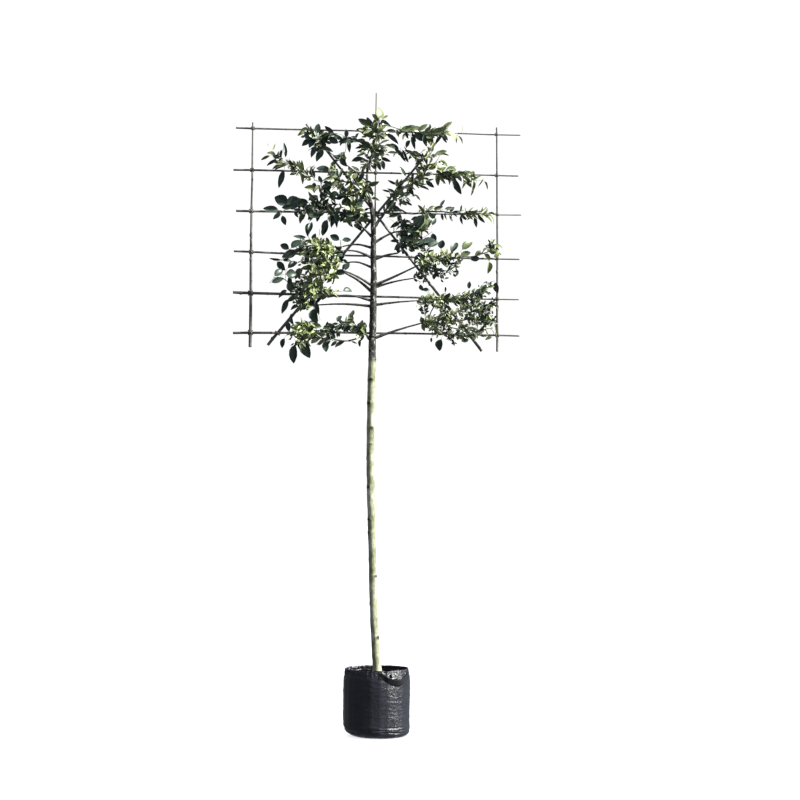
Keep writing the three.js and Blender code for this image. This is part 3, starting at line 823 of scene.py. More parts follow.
massPlan = {
    "leaves_leader": {
        "leaf": 0.044, "slim": 0.4, "lift": 0.35,
        "sprays": [
            (0.48, 0.62, 0.03, 2, 1), (0.4, 0.5, 0.035, 4, 1), (0.62, 0.47, 0.035, 4, 2),
            (0.3, 0.4, 0.03, 3, 1), (0.66, 0.34, 0.025, 3, 2), (0.45, 0.3, 0.035, 4, 1),
            (0.24, 0.28, 0.025, 3, 0), (0.5, 0.14, 0.03, 3, 1), (0.36, 0.12, 0.02, 2, 1),
            (0.6, 0.78, 0.018, 2, 2)],
        "singles": [
            (0.58, 0.95, 80, 0.06, 0.66, 3), (0.5, 0.88, 118, 0.05, 0.5, 3), (0.7, 0.9, 30, 0.035, 0.3, 3),
            (0.26, 0.79, 150, 0.07, 0.46, 1), (0.38, 0.78, 118, 0.06, 0.42, 0),
            (0.2, 0.68, 170, 0.05, 0.4, 0), (0.72, 0.79, 58, 0.06, 0.4, 1), (0.48, 0.76, 98, 0.06, 0.4, 1),
            (0.62, 0.72, 82, 0.055, 0.4, 1), (0.86, 0.57, -38, 0.078, 0.32, 0),
            (0.3, 0.62, 160, 0.055, 0.4, 1), (0.16, 0.5, 184, 0.055, 0.34, 1),
            (0.9, 0.42, -8, 0.06, 0.46, 0), (0.3, 0.45, 160, 0.058, 0.42, 1),
            (0.14, 0.38, 190, 0.046, 0.3, 0), (0.2, 0.33, 196, 0.05, 0.28, 0),
            (0.17, 0.26, 200, 0.046, 0.28, 0), (0.1, 0.16, 178, 0.058, 0.5, 0),
            (0.88, 0.3, -4, 0.052, 0.26, 1), (0.72, 0.21, -22, 0.052, 0.3, 0),
            (0.64, 0.28, 84, 0.052, 0.46, 2), (0.66, 0.1, -78, 0.045, 0.4, 0),
            (0.56, 0.07, -68, 0.042, 0.4, 0), (0.24, 0.05, -122, 0.05, 0.3, 1),
            (0.84, 0.68, 4, 0.045, 0.34, 0), (0.7, 0.6, 40, 0.055, 0.4, 2),
            (0.46, 0.4, 100, 0.055, 0.4, 2)]},
    "leaves_left_4": {
        "leaf": 0.0409, "slim": 0.42, "lift": 0.2,
        "sprays": [
            (0.1, 0.24, 0.02, 2, 0), (0.26, 0.08, 0.02, 2, 0), (0.4, 0.1, 0.025, 2, 0),
            (0.55, 0.12, 0.025, 2, 0), (0.68, 0.2, 0.025, 3, 1), (0.8, 0.25, 0.028, 4, 1),
            (0.92, 0.18, 0.025, 3, 1), (0.62, 0.42, 0.025, 3, 2), (0.74, 0.52, 0.025, 4, 2),
            (0.88, 0.36, 0.022, 3, 1), (0.42, 0.58, 0.022, 3, 2), (0.4, 0.86, 0.022, 3, 1),
            (0.6, 0.8, 0.02, 2, 2), (0.22, 0.42, 0.016, 2, 0)],
        "singles": [
            (0.24, 0.95, 176, 0.062, 0.5, 0), (0.34, 0.98, 60, 0.05, 0.5, 1),
            (0.04, 0.84, -70, 0.048, 0.26, 0), (0.03, 0.96, 62, 0.036, 0.25, 0),
            (0.17, 0.67, 108, 0.036, 0.48, 0), (0.36, 0.74, 150, 0.052, 0.55, 2),
            (0.43, 0.66, -40, 0.048, 0.5, 1), (0.48, 0.82, 82, 0.052, 0.36, 0),
            (0.31, 0.53, -100, 0.055, 0.46, 0), (0.02, 0.42, 168, 0.05, 0.5, 3),
            (0.07, 0.5, -88, 0.05, 0.46, 0), (0.2, 0.26, -80, 0.046, 0.62, 0),
            (0.25, 0.4, -42, 0.07, 0.2, 0), (0.39, 0.27, 205, 0.05, 0.58, 0), (0.57, 0.3, 182, 0.06, 0.3, 1),
            (0.62, 0.85, 80, 0.062, 0.38, 2), (0.72, 0.7, 82, 0.048, 0.52, 0),
            (0.76, 0.88, 176, 0.042, 0.3, 0), (0.82, 0.78, -118, 0.05, 0.48, 0),
            (0.76, 0.55, 8, 0.062, 0.7, 2), (0.67, 0.58, 160, 0.05, 0.42, 2),
            (0.65, 0.47, 222, 0.05, 0.4, 2), (0.92, 0.6, 182, 0.032, 0.36, 0),
            (0.93, 0.42, -70, 0.052, 0.5, 0)]},
    "leaves_left_3": {
        "leaf": 0.0331, "slim": 0.32, "lift": 0.3,
        "sprays": [
            (0.24, 0.7, 0.012, 2, 3), (0.42, 0.54, 0.016, 3, 2), (0.55, 0.48, 0.016, 3, 2),
            (0.66, 0.36, 0.018, 3, 2), (0.76, 0.24, 0.016, 3, 2), (0.86, 0.12, 0.014, 2, 3)],
        "singles": [
            (0.08, 0.66, 200, 0.052, 0.28, 3), (0.2, 0.79, 150, 0.046, 0.5, 3),
            (0.14, 0.92, 120, 0.04, 0.16, 3), (0.22, 0.95, 70, 0.036, 0.2, 3),
            (0.29, 0.69, 168, 0.038, 0.46, 0), (0.37, 0.75, 88, 0.052, 0.34, 0),
            (0.31, 0.72, 96, 0.042, 0.3, 0), (0.44, 0.84, 96, 0.075, 0.22, 0),
            (0.21, 0.55, 196, 0.06, 0.3, 0), (0.33, 0.54, 170, 0.06, 0.36, 2),
            (0.38, 0.45, 190, 0.06, 0.36, 1), (0.3, 0.42, 192, 0.046, 0.3, 1),
            (0.38, 0.16, -106, 0.085, 0.32, 0), (0.55, 0.5, -58, 0.055, 0.3, 0),
            (0.68, 0.42, -50, 0.05, 0.3, 2), (0.7, 0.27, -62, 0.05, 0.34, 2),
            (0.62, 0.25, 202, 0.032, 0.3, 1), (0.78, 0.4, 102, 0.066, 0.24, 0),
            (0.77, 0.18, -80, 0.05, 0.28, 2), (0.86, 0.18, -60, 0.042, 0.2, 3),
            (0.93, 0.3, -80, 0.046, 0.26, 0), (0.97, 0.34, 80, 0.05, 0.2, 0)]},
    "leaves_left_1": {
        "leaf": 0.0378, "slim": 0.5, "lift": -0.1,
        "sprays": [
            (0.22, 0.72, 0.016, 3, 0), (0.34, 0.78, 0.018, 3, 0), (0.5, 0.7, 0.018, 3, 0),
            (0.66, 0.76, 0.016, 2, 0), (0.34, 0.58, 0.016, 2, 1), (0.86, 0.2, 0.014, 2, 0)],
        "singles": [
            (0.06, 0.86, 202, 0.042, 0.42, 3), (0.12, 0.91, 158, 0.036, 0.4, 3),
            (0.18, 0.98, 120, 0.03, 0.2, 3), (0.2, 0.73, 140, 0.052, 0.68, 0),
            (0.15, 0.62, 202, 0.048, 0.6, 0), (0.26, 0.6, 232, 0.046, 0.6, 0),
            (0.36, 0.92, 80, 0.05, 0.5, 0), (0.29, 0.4, -112, 0.06, 0.42, 0),
            (0.42, 0.31, -116, 0.066, 0.52, 0), (0.52, 0.42, -8, 0.06, 0.46, 0),
            (0.5, 0.62, -82, 0.058, 0.6, 0), (0.6, 0.8, 42, 0.05, 0.55, 0), (0.67, 0.7, -32, 0.05, 0.6, 0),
            (0.62, 0.9, 150, 0.05, 0.4, 0), (0.76, 0.76, -20, 0.045, 0.4, 0),
            (0.85, 0.29, 62, 0.046, 0.48, 0), (0.88, 0.14, -62, 0.052, 0.5, 0),
            (0.7, 0.04, -112, 0.05, 0.5, 0), (0.92, 0.65, 192, 0.046, 0.55, 0),
            (0.97, 0.84, 92, 0.034, 0.5, 0)]},
    "leaves_left_2": {
        "leaf": 0.0331, "slim": 0.42, "lift": -0.1,
        "sprays": [
            (0.5, 0.4, 0.01, 1, 0)],
        "singles": [
            (0.45, 0.8, -92, 0.04, 0.34, 0), (0.38, 0.3, -126, 0.056, 0.48, 0),
            (0.62, 0.05, -90, 0.06, 0.3, 0), (0.8, 0.28, -6, 0.05, 0.4, 0), (0.12, 0.5, 182, 0.032, 0.42, 0),
            (0.95, 0.6, 70, 0.036, 0.4, 0), (0.82, 0.52, 180, 0.026, 0.4, 0),
            (0.6, 0.42, 10, 0.042, 0.4, 0)]},
    "leaves_left_5": {
        "leaf": 0.05, "slim": 0.48, "lift": 0.0,
        "sprays": [
            (0.36, 0.58, 0.016, 3, 0), (0.46, 0.66, 0.018, 4, 0), (0.48, 0.4, 0.018, 4, 0),
            (0.58, 0.6, 0.022, 4, 0), (0.66, 0.3, 0.022, 3, 0), (0.72, 0.62, 0.022, 3, 0),
            (0.78, 0.36, 0.024, 4, 0), (0.84, 0.62, 0.022, 3, 1), (0.9, 0.3, 0.024, 3, 0),
            (0.94, 0.6, 0.02, 2, 0), (0.82, 0.1, 0.02, 2, 0), (0.95, 0.1, 0.018, 2, 1)],
        "singles": [
            (0.07, 0.38, 176, 0.07, 0.42, 0), (0.12, 0.2, 216, 0.046, 0.5, 0),
            (0.17, 0.06, -70, 0.046, 0.5, 0), (0.29, 0.26, -60, 0.034, 0.4, 0),
            (0.17, 0.72, 150, 0.075, 0.7, 0), (0.25, 0.66, 18, 0.072, 0.75, 0),
            (0.22, 0.5, 184, 0.05, 0.5, 0), (0.37, 0.72, 172, 0.062, 0.5, 0), (0.45, 0.82, 30, 0.05, 0.5, 0),
            (0.36, 0.34, 188, 0.05, 0.3, 0), (0.44, 0.24, -10, 0.06, 0.4, 0),
            (0.42, -0.18, -100, 0.062, 0.5, 0), (0.58, -0.08, -112, 0.066, 0.42, 0),
            (0.57, 0.88, 80, 0.04, 0.5, 0), (0.7, 0.08, 200, 0.055, 0.5, 0)]},
    "leaves_left_6": {
        "leaf": 0.036, "slim": 0.52, "lift": 0.0,
        "sprays": [
            (0.52, 0.74, 0.024, 7, 3), (0.62, 0.74, 0.026, 10, 3), (0.72, 0.7, 0.026, 8, 3),
            (0.6, 0.58, 0.026, 8, 3), (0.72, 0.58, 0.026, 8, 3), (0.82, 0.56, 0.024, 5, 2),
            (0.86, 0.72, 0.022, 3, 0), (0.56, 0.44, 0.026, 7, 2), (0.68, 0.42, 0.026, 8, 3),
            (0.78, 0.36, 0.024, 5, 2), (0.5, 0.32, 0.024, 5, 2), (0.62, 0.26, 0.028, 7, 2),
            (0.74, 0.24, 0.024, 4, 2), (0.4, 0.14, 0.022, 4, 1), (0.5, 0.14, 0.022, 4, 3),
            (0.66, 0.08, 0.024, 4, 3), (0.8, 0.1, 0.02, 3, 3), (0.36, 0.66, 0.02, 3, 0),
            (0.42, 0.5, 0.02, 3, 1), (0.66, 0.84, 0.022, 3, 1), (0.4, 0.3, 0.018, 2, 1),
            (0.35, 0.04, 0.018, 3, 0), (0.44, 0.02, 0.02, 3, 2)],
        "singles": [
            (0.52, 1.0, 76, 0.06, 0.4, 0), (0.42, 0.88, 176, 0.06, 0.26, 0), (0.7, 0.97, 70, 0.06, 0.4, 0),
            (0.58, 0.88, 82, 0.036, 0.66, 0), (0.85, 0.88, 150, 0.05, 0.6, 0),
            (0.95, 0.83, 2, 0.042, 0.5, 0), (0.23, 0.74, 150, 0.052, 0.6, 0), (0.34, 0.75, 38, 0.06, 0.6, 0),
            (0.3, 0.65, 202, 0.075, 0.5, 0), (0.42, 0.77, 60, 0.05, 0.5, 0),
            (0.12, 0.56, 176, 0.062, 0.22, 0), (0.23, 0.55, 4, 0.042, 0.5, 0),
            (0.15, 0.47, -48, 0.054, 0.55, 0), (0.3, 0.48, 40, 0.06, 0.5, 0),
            (0.12, 0.34, 42, 0.056, 0.55, 0), (0.1, 0.23, 20, 0.06, 0.4, 0), (0.27, 0.33, 4, 0.056, 0.8, 0),
            (0.28, 0.24, 100, 0.04, 0.6, 0), (0.27, 0.16, -60, 0.056, 0.6, 0),
            (0.2, 0.08, 216, 0.052, 0.4, 0), (0.4, 0.38, 232, 0.06, 0.55, 1), (0.9, 0.36, 172, 0.06, 0.5, 0),
            (0.97, 0.44, 60, 0.042, 0.45, 0), (0.95, 0.55, 4, 0.044, 0.45, 0),
            (0.97, 0.11, 20, 0.052, 0.5, 0), (0.88, 0.66, -20, 0.05, 0.5, 0), (0.68, 0.78, 84, 0.04, 0.4, 0),
            (0.76, 0.46, -70, 0.055, 0.5, 1), (0.6, 0.4, -110, 0.055, 0.5, 1)]},
    "leaves_left_7": {
        "leaf": 0.036, "slim": 0.52, "lift": -0.2,
        "sprays": [
            (0.34, 0.92, 0.014, 2, 1), (0.5, 0.84, 0.014, 3, 2), (0.62, 0.78, 0.014, 2, 2)],
        "singles": [
            (0.07, 0.72, -112, 0.072, 0.36, 0), (0.3, 0.95, 200, 0.05, 0.55, 1),
            (0.5, 0.9, 100, 0.04, 0.5, 2), (0.7, 0.7, 6, 0.052, 0.62, 1), (0.6, 0.6, 188, 0.05, 0.4, 0),
            (0.84, 0.84, -58, 0.052, 0.46, 0), (0.95, 0.64, -80, 0.07, 0.32, 0),
            (0.87, 0.3, -84, 0.072, 0.58, 0), (1.0, 0.86, 60, 0.04, 0.4, 0),
            (0.92, 0.04, 192, 0.046, 0.32, 0)]},
    "leaves_left_8": {
        "leaf": 0.038, "slim": 0.5, "lift": -0.1,
        "sprays": [
            (0.16, 0.6, 0.02, 4, 2), (0.24, 0.62, 0.022, 6, 3), (0.33, 0.64, 0.022, 7, 3),
            (0.28, 0.44, 0.02, 5, 2), (0.42, 0.58, 0.022, 5, 2), (0.52, 0.52, 0.022, 5, 1),
            (0.2, 0.4, 0.018, 3, 1), (0.6, 0.66, 0.018, 3, 0), (0.7, 0.76, 0.02, 3, 0),
            (0.78, 0.84, 0.018, 3, 0), (0.86, 0.8, 0.018, 3, 2), (0.6, 0.44, 0.016, 2, 0),
            (0.93, 0.6, 0.014, 1, 0)],
        "singles": [
            (0.06, 0.37, -112, 0.052, 0.46, 0), (0.17, 0.88, 110, 0.056, 0.4, 0),
            (0.28, 0.79, 10, 0.05, 0.34, 0), (0.12, 0.78, -80, 0.05, 0.5, 0),
            (0.19, 0.17, -96, 0.092, 0.46, 0), (0.31, 0.25, -78, 0.08, 0.6, 0),
            (0.25, 0.3, -50, 0.05, 0.5, 0), (0.44, 0.75, 172, 0.06, 0.44, 1),
            (0.53, 0.31, -82, 0.048, 0.6, 0), (0.56, 0.74, 100, 0.04, 0.5, 0),
            (0.68, 0.92, 62, 0.042, 0.6, 0), (0.83, 1.04, 70, 0.034, 0.5, 0),
            (0.71, 0.37, 206, 0.052, 0.46, 0), (0.92, 0.72, -102, 0.062, 0.44, 0),
            (0.98, 0.82, -60, 0.03, 0.3, 0), (0.92, 0.4, -100, 0.035, 0.4, 0),
            (0.84, 0.38, -20, 0.03, 0.3, 0)]},
    "leaves_right_2": {
        "leaf": 0.042, "slim": 0.36, "lift": 0.1,
        "sprays": [
            (0.24, 0.3, 0.022, 4, 0), (0.2, 0.16, 0.018, 3, 0), (0.3, 0.2, 0.02, 3, 0),
            (0.38, 0.36, 0.022, 4, 1), (0.48, 0.42, 0.022, 4, 1), (0.58, 0.5, 0.022, 4, 1),
            (0.68, 0.5, 0.02, 3, 1), (0.6, 0.66, 0.02, 3, 1), (0.74, 0.82, 0.02, 3, 3),
            (0.82, 0.66, 0.02, 3, 3), (0.52, 0.8, 0.018, 2, 0), (0.66, 0.76, 0.02, 2, 1)],
        "singles": [
            (0.3, 0.53, 122, 0.055, 0.32, 0), (0.16, 0.4, 160, 0.05, 0.24, 0),
            (0.17, 0.06, -112, 0.046, 0.4, 0), (0.5, 0.2, -6, 0.052, 0.3, 0),
            (0.6, 0.31, -10, 0.052, 0.26, 0), (0.38, 0.1, -30, 0.042, 0.3, 0),
            (0.75, 0.92, 76, 0.062, 0.38, 3), (0.72, 1.0, 100, 0.05, 0.3, 3),
            (0.85, 0.83, 22, 0.062, 0.34, 2), (0.94, 0.82, -12, 0.04, 0.3, 1),
            (0.9, 0.7, -42, 0.05, 0.42, 3), (0.5, 0.83, 198, 0.06, 0.4, 0),
            (0.42, 0.86, 150, 0.045, 0.36, 1), (0.34, 0.42, 200, 0.05, 0.3, 0),
            (0.84, 0.47, -80, 0.04, 0.4, 1), (0.7, 0.4, -40, 0.05, 0.4, 0), (0.42, 0.3, -60, 0.05, 0.4, 0),
            (0.1, 0.14, 240, 0.04, 0.3, 0), (0.06, 0.26, 170, 0.045, 0.22, 0)]},
    "leaves_right_3": {
        "leaf": 0.0372, "slim": 0.24, "lift": -0.4,
        "sprays": [
            (0.3, 0.5, 0.01, 1, 0)],
        "singles": [
            (0.22, 0.5, -38, 0.06, 0.26, 0), (0.38, 0.26, -58, 0.055, 0.22, 0),
            (0.48, 0.34, -62, 0.056, 0.2, 0), (0.58, 0.1, -76, 0.045, 0.3, 0),
            (0.82, 0.2, -46, 0.062, 0.26, 1), (0.7, 0.42, 200, 0.036, 0.2, 1)]},
    "leaves_right_1": {
        "leaf": 0.0352, "slim": 0.4, "lift": 0.1,
        "sprays": [
            (0.1, 0.5, 0.01, 2, 1), (0.26, 0.55, 0.012, 2, 1), (0.4, 0.34, 0.014, 3, 1),
            (0.54, 0.36, 0.014, 3, 1), (0.64, 0.5, 0.01, 2, 1)],
        "singles": [
            (0.12, 0.6, 16, 0.058, 0.4, 1), (0.2, 0.75, 20, 0.046, 0.34, 0),
            (0.28, 0.62, 10, 0.066, 0.46, 1), (0.37, 0.72, 32, 0.055, 0.36, 1),
            (0.32, 0.3, -44, 0.066, 0.56, 0), (0.45, 0.3, -12, 0.062, 0.56, 1),
            (0.5, 0.16, -72, 0.055, 0.5, 1), (0.42, 0.08, -86, 0.058, 0.38, 0),
            (0.59, 0.5, 16, 0.068, 0.42, 1), (0.66, 0.62, 30, 0.07, 0.36, 1),
            (0.72, 0.84, 46, 0.055, 0.3, 1), (0.78, 0.95, 50, 0.038, 0.26, 1),
            (0.63, 0.14, -122, 0.045, 0.34, 0), (0.71, 0.16, -60, 0.04, 0.28, 0),
            (0.77, 0.46, -10, 0.045, 0.45, 3), (0.82, 0.34, -38, 0.066, 0.95, 3),
            (0.95, 0.15, -45, 0.045, 0.15, 3), (0.98, 0.74, 80, 0.034, 0.15, 3),
            (0.18, -0.2, -122, 0.04, 0.55, 0), (0.25, -0.02, -80, 0.066, 0.26, 0)]},
    "leaves_right_4": {
        "leaf": 0.046, "slim": 0.4, "lift": -0.2,
        "sprays": [
            (0.14, 0.66, 0.012, 3, 1), (0.34, 0.64, 0.012, 3, 1), (0.52, 0.56, 0.012, 3, 2),
            (0.68, 0.46, 0.01, 2, 2)],
        "singles": [
            (0.05, 0.42, -92, 0.055, 0.42, 1), (0.2, 0.57, -5, 0.088, 0.46, 0),
            (0.28, 0.8, 10, 0.074, 0.34, 1), (0.12, 0.7, 170, 0.05, 0.42, 0),
            (0.5, 0.64, -10, 0.062, 0.42, 1), (0.6, 0.64, 12, 0.055, 0.4, 1),
            (0.4, 0.18, -66, 0.088, 0.34, 0), (0.62, 0.34, -62, 0.055, 0.38, 1),
            (0.57, 0.42, -30, 0.055, 0.34, 2), (0.77, 0.43, 16, 0.06, 0.3, 1),
            (0.74, 0.16, -86, 0.056, 0.24, 3), (0.72, -0.1, -105, 0.038, 0.24, 3),
            (0.9, 0.34, -122, 0.046, 0.16, 3), (0.97, 0.2, -60, 0.042, 0.14, 3)]},
    "leaves_right_5": {
        "leaf": 0.034, "slim": 0.34, "lift": 0.1,
        "sprays": [
            (0.06, 0.5, 0.012, 2, 0), (0.13, 0.34, 0.012, 1, 0), (0.38, 0.45, 0.016, 3, 1),
            (0.46, 0.55, 0.014, 2, 1), (0.62, 0.5, 0.012, 2, 0), (0.74, 0.48, 0.012, 2, 0),
            (0.84, 0.44, 0.014, 3, 1), (0.94, 0.42, 0.014, 3, 3)],
        "singles": [
            (0.08, 0.7, 200, 0.04, 0.4, 0), (0.13, 0.3, -72, 0.036, 0.36, 0),
            (0.22, 0.36, 10, 0.04, 0.26, 0), (0.33, 0.58, 120, 0.045, 0.4, 1),
            (0.37, 0.14, -80, 0.055, 0.34, 2), (0.42, 0.3, -50, 0.046, 0.4, 1),
            (0.43, 0.74, 10, 0.05, 0.4, 1), (0.52, 0.95, 62, 0.05, 0.3, 0), (0.48, 0.74, 20, 0.046, 0.36, 1),
            (0.58, 0.7, 8, 0.05, 0.3, 0), (0.52, 0.28, -76, 0.036, 0.34, 0), (0.7, 0.74, 82, 0.034, 0.3, 0),
            (0.7, 0.14, -80, 0.044, 0.3, 0), (0.65, 0.56, 4, 0.046, 0.34, 0),
            (0.77, 0.52, 6, 0.046, 0.34, 0), (0.9, 0.72, 44, 0.048, 0.34, 1),
            (0.83, 0.06, -80, 0.05, 0.34, 0), (0.87, 0.2, -48, 0.05, 0.3, 0),
            (0.97, 0.44, -8, 0.048, 0.3, 3), (0.93, 0.18, -42, 0.052, 0.3, 3),
            (0.98, 0.22, -60, 0.045, 0.26, 3)]},
    "leaves_right_6": {
        "leaf": 0.042, "slim": 0.46, "lift": 0.0,
        "sprays": [
            (0.3, 0.7, 0.014, 2, 0), (0.5, 0.6, 0.016, 2, 0), (0.72, 0.74, 0.018, 4, 1),
            (0.84, 0.7, 0.016, 3, 2), (0.76, 0.5, 0.016, 3, 1), (0.3, 0.14, 0.014, 2, 0),
            (0.54, 0.3, 0.014, 2, 0), (0.62, 0.06, 0.014, 2, 0)],
        "singles": [
            (0.05, 0.97, 10, 0.052, 0.34, 0), (0.26, 0.97, -88, 0.05, 0.46, 0),
            (0.18, 0.76, 202, 0.052, 0.4, 0), (0.33, 0.78, -62, 0.042, 0.6, 0),
            (0.42, 0.84, 12, 0.05, 0.3, 0), (0.65, 0.94, 14, 0.062, 0.34, 0),
            (0.7, 0.76, 62, 0.072, 0.72, 0), (0.86, 0.62, 62, 0.08, 0.38, 1),
            (0.94, 0.68, 66, 0.06, 0.34, 1), (0.56, 0.55, 202, 0.056, 0.5, 0),
            (0.4, 0.5, -70, 0.052, 0.34, 0), (0.32, 0.2, 60, 0.052, 0.6, 0),
            (0.15, 0.22, 182, 0.042, 0.4, 0), (0.55, 0.32, 30, 0.046, 0.4, 1),
            (0.9, 0.16, 20, 0.07, 0.56, 0), (0.72, 0.06, 14, 0.05, 0.4, 0), (1.08, 0.8, 70, 0.042, 0.5, 0),
            (0.22, 0.06, 220, 0.045, 0.5, 0), (0.66, 0.55, -40, 0.05, 0.45, 0)]},
    "leaves_right_7": {
        "leaf": 0.032, "slim": 0.52, "lift": 0.1,
        "sprays": [
            (0.05, 0.74, 0.016, 3, 0), (0.14, 0.64, 0.018, 4, 0), (0.14, 0.82, 0.016, 2, 0),
            (0.24, 0.5, 0.018, 4, 0), (0.34, 0.4, 0.02, 5, 2), (0.24, 0.2, 0.018, 4, 1),
            (0.34, 0.18, 0.02, 5, 2), (0.43, 0.3, 0.02, 5, 3), (0.4, 0.08, 0.016, 3, 0),
            (0.5, 0.14, 0.016, 2, 0), (0.58, 0.1, 0.014, 2, 0), (0.54, 0.36, 0.016, 3, 1),
            (0.22, 0.86, 0.014, 2, 0), (0.92, 0.74, 0.018, 4, 0), (0.97, 0.54, 0.014, 3, 3),
            (0.66, 0.32, 0.014, 2, 1)],
        "singles": [
            (0.36, 0.95, -80, 0.052, 0.5, 0), (0.24, 0.72, 20, 0.062, 0.52, 0),
            (0.33, 0.66, 32, 0.062, 0.58, 0), (0.44, 0.7, 80, 0.044, 0.76, 0),
            (0.56, 0.62, 60, 0.07, 0.5, 0), (0.67, 0.65, 44, 0.07, 0.58, 1), (0.65, 0.4, 20, 0.05, 0.5, 1),
            (0.76, 0.32, 4, 0.052, 0.5, 0), (0.8, 0.46, 30, 0.046, 0.56, 1),
            (0.88, 0.34, -50, 0.036, 0.4, 3), (0.91, 0.1, -82, 0.058, 0.44, 3),
            (0.97, 0.42, 40, 0.04, 0.5, 3), (0.2, 0.3, -120, 0.05, 0.5, 0), (0.3, 0.3, -60, 0.05, 0.5, 1)]},
    "leaves_right_8": {
        "leaf": 0.025, "slim": 0.5, "lift": 0.1,
        "sprays": [
            (0.1, 0.5, 0.012, 2, 0), (0.22, 0.6, 0.014, 3, 2), (0.27, 0.75, 0.012, 3, 2),
            (0.4, 0.72, 0.012, 2, 0), (0.55, 0.6, 0.014, 3, 0), (0.7, 0.6, 0.014, 3, 0),
            (0.88, 0.8, 0.012, 2, 0), (0.28, 0.3, 0.012, 2, 0)],
        "singles": [
            (0.66, 0.06, -60, 0.02, 0.5, 0), (0.75, 0.2, 20, 0.022, 0.5, 0), (1.0, 0.5, 60, 0.03, 0.36, 0),
            (0.5, 0.4, -100, 0.03, 0.6, 0), (0.95, 1.0, 50, 0.03, 0.4, 0)]},
    "leaves_right_9": {
        "leaf": 0.026, "slim": 0.52, "lift": 0.1,
        "sprays": [
            (0.08, 0.16, 0.014, 3, 0), (0.18, 0.2, 0.016, 4, 0), (0.3, 0.16, 0.016, 4, 3),
            (0.42, 0.18, 0.016, 4, 0), (0.54, 0.2, 0.016, 4, 1), (0.66, 0.22, 0.016, 5, 0),
            (0.66, 0.46, 0.014, 2, 0), (0.8, 0.2, 0.016, 4, 1), (0.84, 0.56, 0.014, 3, 0),
            (0.93, 0.44, 0.014, 3, 1), (0.95, 0.82, 0.014, 3, 2), (0.76, 0.4, 0.014, 3, 1),
            (0.5, 0.34, 0.012, 2, 0)],
        "singles": [
            (0.7, 0.72, 86, 0.036, 0.5, 0), (0.4, 0.58, 90, 0.028, 0.5, 0), (0.88, 0.7, 44, 0.04, 0.4, 0),
            (0.07, 0.68, -70, 0.032, 0.6, 0), (0.15, 0.6, 182, 0.034, 0.5, 0),
            (0.12, 0.88, 10, 0.03, 0.3, 0), (1.07, 0.75, -80, 0.052, 0.5, 0),
            (0.9, 0.64, 30, 0.036, 0.4, 0)]},
    "leaves_right_10": {
        "leaf": 0.026, "slim": 0.52, "lift": 0.0,
        "sprays": [
            (0.04, 0.92, 0.014, 3, 0), (0.14, 0.94, 0.014, 3, 0), (0.2, 0.8, 0.018, 4, 0),
            (0.24, 0.92, 0.016, 3, 2), (0.04, 0.56, 0.016, 3, 0), (0.1, 0.5, 0.016, 3, 2),
            (0.18, 0.6, 0.016, 2, 1), (0.14, 0.38, 0.018, 4, 1), (0.24, 0.5, 0.02, 5, 2),
            (0.24, 0.3, 0.02, 5, 2), (0.32, 0.64, 0.018, 4, 1), (0.36, 0.8, 0.02, 4, 1),
            (0.38, 0.5, 0.02, 5, 1), (0.36, 0.36, 0.018, 4, 0), (0.42, 0.2, 0.02, 5, 0),
            (0.46, 0.66, 0.02, 4, 2), (0.5, 0.9, 0.02, 5, 1), (0.5, 0.42, 0.02, 5, 1),
            (0.55, 0.16, 0.02, 5, 0), (0.56, 0.56, 0.02, 4, 2), (0.6, 0.76, 0.02, 4, 1),
            (0.6, 0.3, 0.018, 4, 1), (0.66, 0.5, 0.02, 5, 1), (0.7, 0.66, 0.02, 5, 0),
            (0.72, 0.84, 0.016, 2, 1), (0.7, 0.26, 0.016, 3, 3), (0.8, 0.74, 0.018, 4, 0),
            (0.78, 0.46, 0.02, 5, 1), (0.82, 0.9, 0.016, 4, 1), (0.88, 0.6, 0.02, 5, 0),
            (0.9, 0.8, 0.018, 5, 1), (0.96, 0.92, 0.016, 4, 0), (0.94, 0.46, 0.018, 4, 2),
            (0.86, 0.34, 0.016, 4, 0), (0.94, 0.68, 0.018, 4, 0), (0.66, 0.92, 0.016, 3, 0)],
        "singles": [
            (0.22, 0.03, -104, 0.06, 0.62, 0), (0.88, 0.17, 202, 0.034, 0.5, 1),
            (0.94, 0.24, -60, 0.03, 0.4, 2), (0.12, 0.12, -90, 0.024, 0.5, 0),
            (0.56, 0.1, 190, 0.036, 0.6, 0), (0.97, 0.38, -80, 0.035, 0.4, 2)]},
}

growth = {"step": 0.011, "kill": 0.013, "inertia": 0.55, "wobble": 0.16, "tip": 0.0011, "fork": 2.25,
          "shoot": 0.062, "gap": 0.023, "sight": 0.11, "grown": 1.2, "thickest": 0.0055, "rounds": 220,
          "giveUp": 0.12, "near": 0.02, "lowestShoot": 2.0, "green": 0.0012, "mostSteps": 9000}

leafTints = [
    leafMaterial("leafDark", (0.017, 0.034, 0.025), (0.042, 0.069, 0.047), 0.4, 0.28, 0.05),
    leafMaterial("leafMid", (0.068, 0.095, 0.038), (0.138, 0.178, 0.074), 0.36),
    # the sunny tint is a paler, glossier copy of the leaf colour: its paler base colour is painted sunlight
    # on the sprays that turn to the sun
    leafMaterial("leafPaintedSunlight", (0.118, 0.15, 0.062), (0.225, 0.262, 0.125), 0.38, 0.7, 0.3),
    leafMaterial("leafYoung", (0.135, 0.175, 0.055), (0.22, 0.265, 0.1), 0.42, 0.45, 0.12),
]
veinLook = leafMaterial("leafMidrib", (0.05, 0.065, 0.03), (0.11, 0.13, 0.065), 0.45)
twigLook = youngBarkMaterial("twigBark", (0.02, 0.021, 0.017), (0.07, 0.07, 0.05))
shootLook = youngBarkMaterial("greenShoot", (0.05, 0.07, 0.022), (0.16, 0.19, 0.075))

everyNode = {"place": np.zeros((0, 3)), "radius": np.zeros(0)}


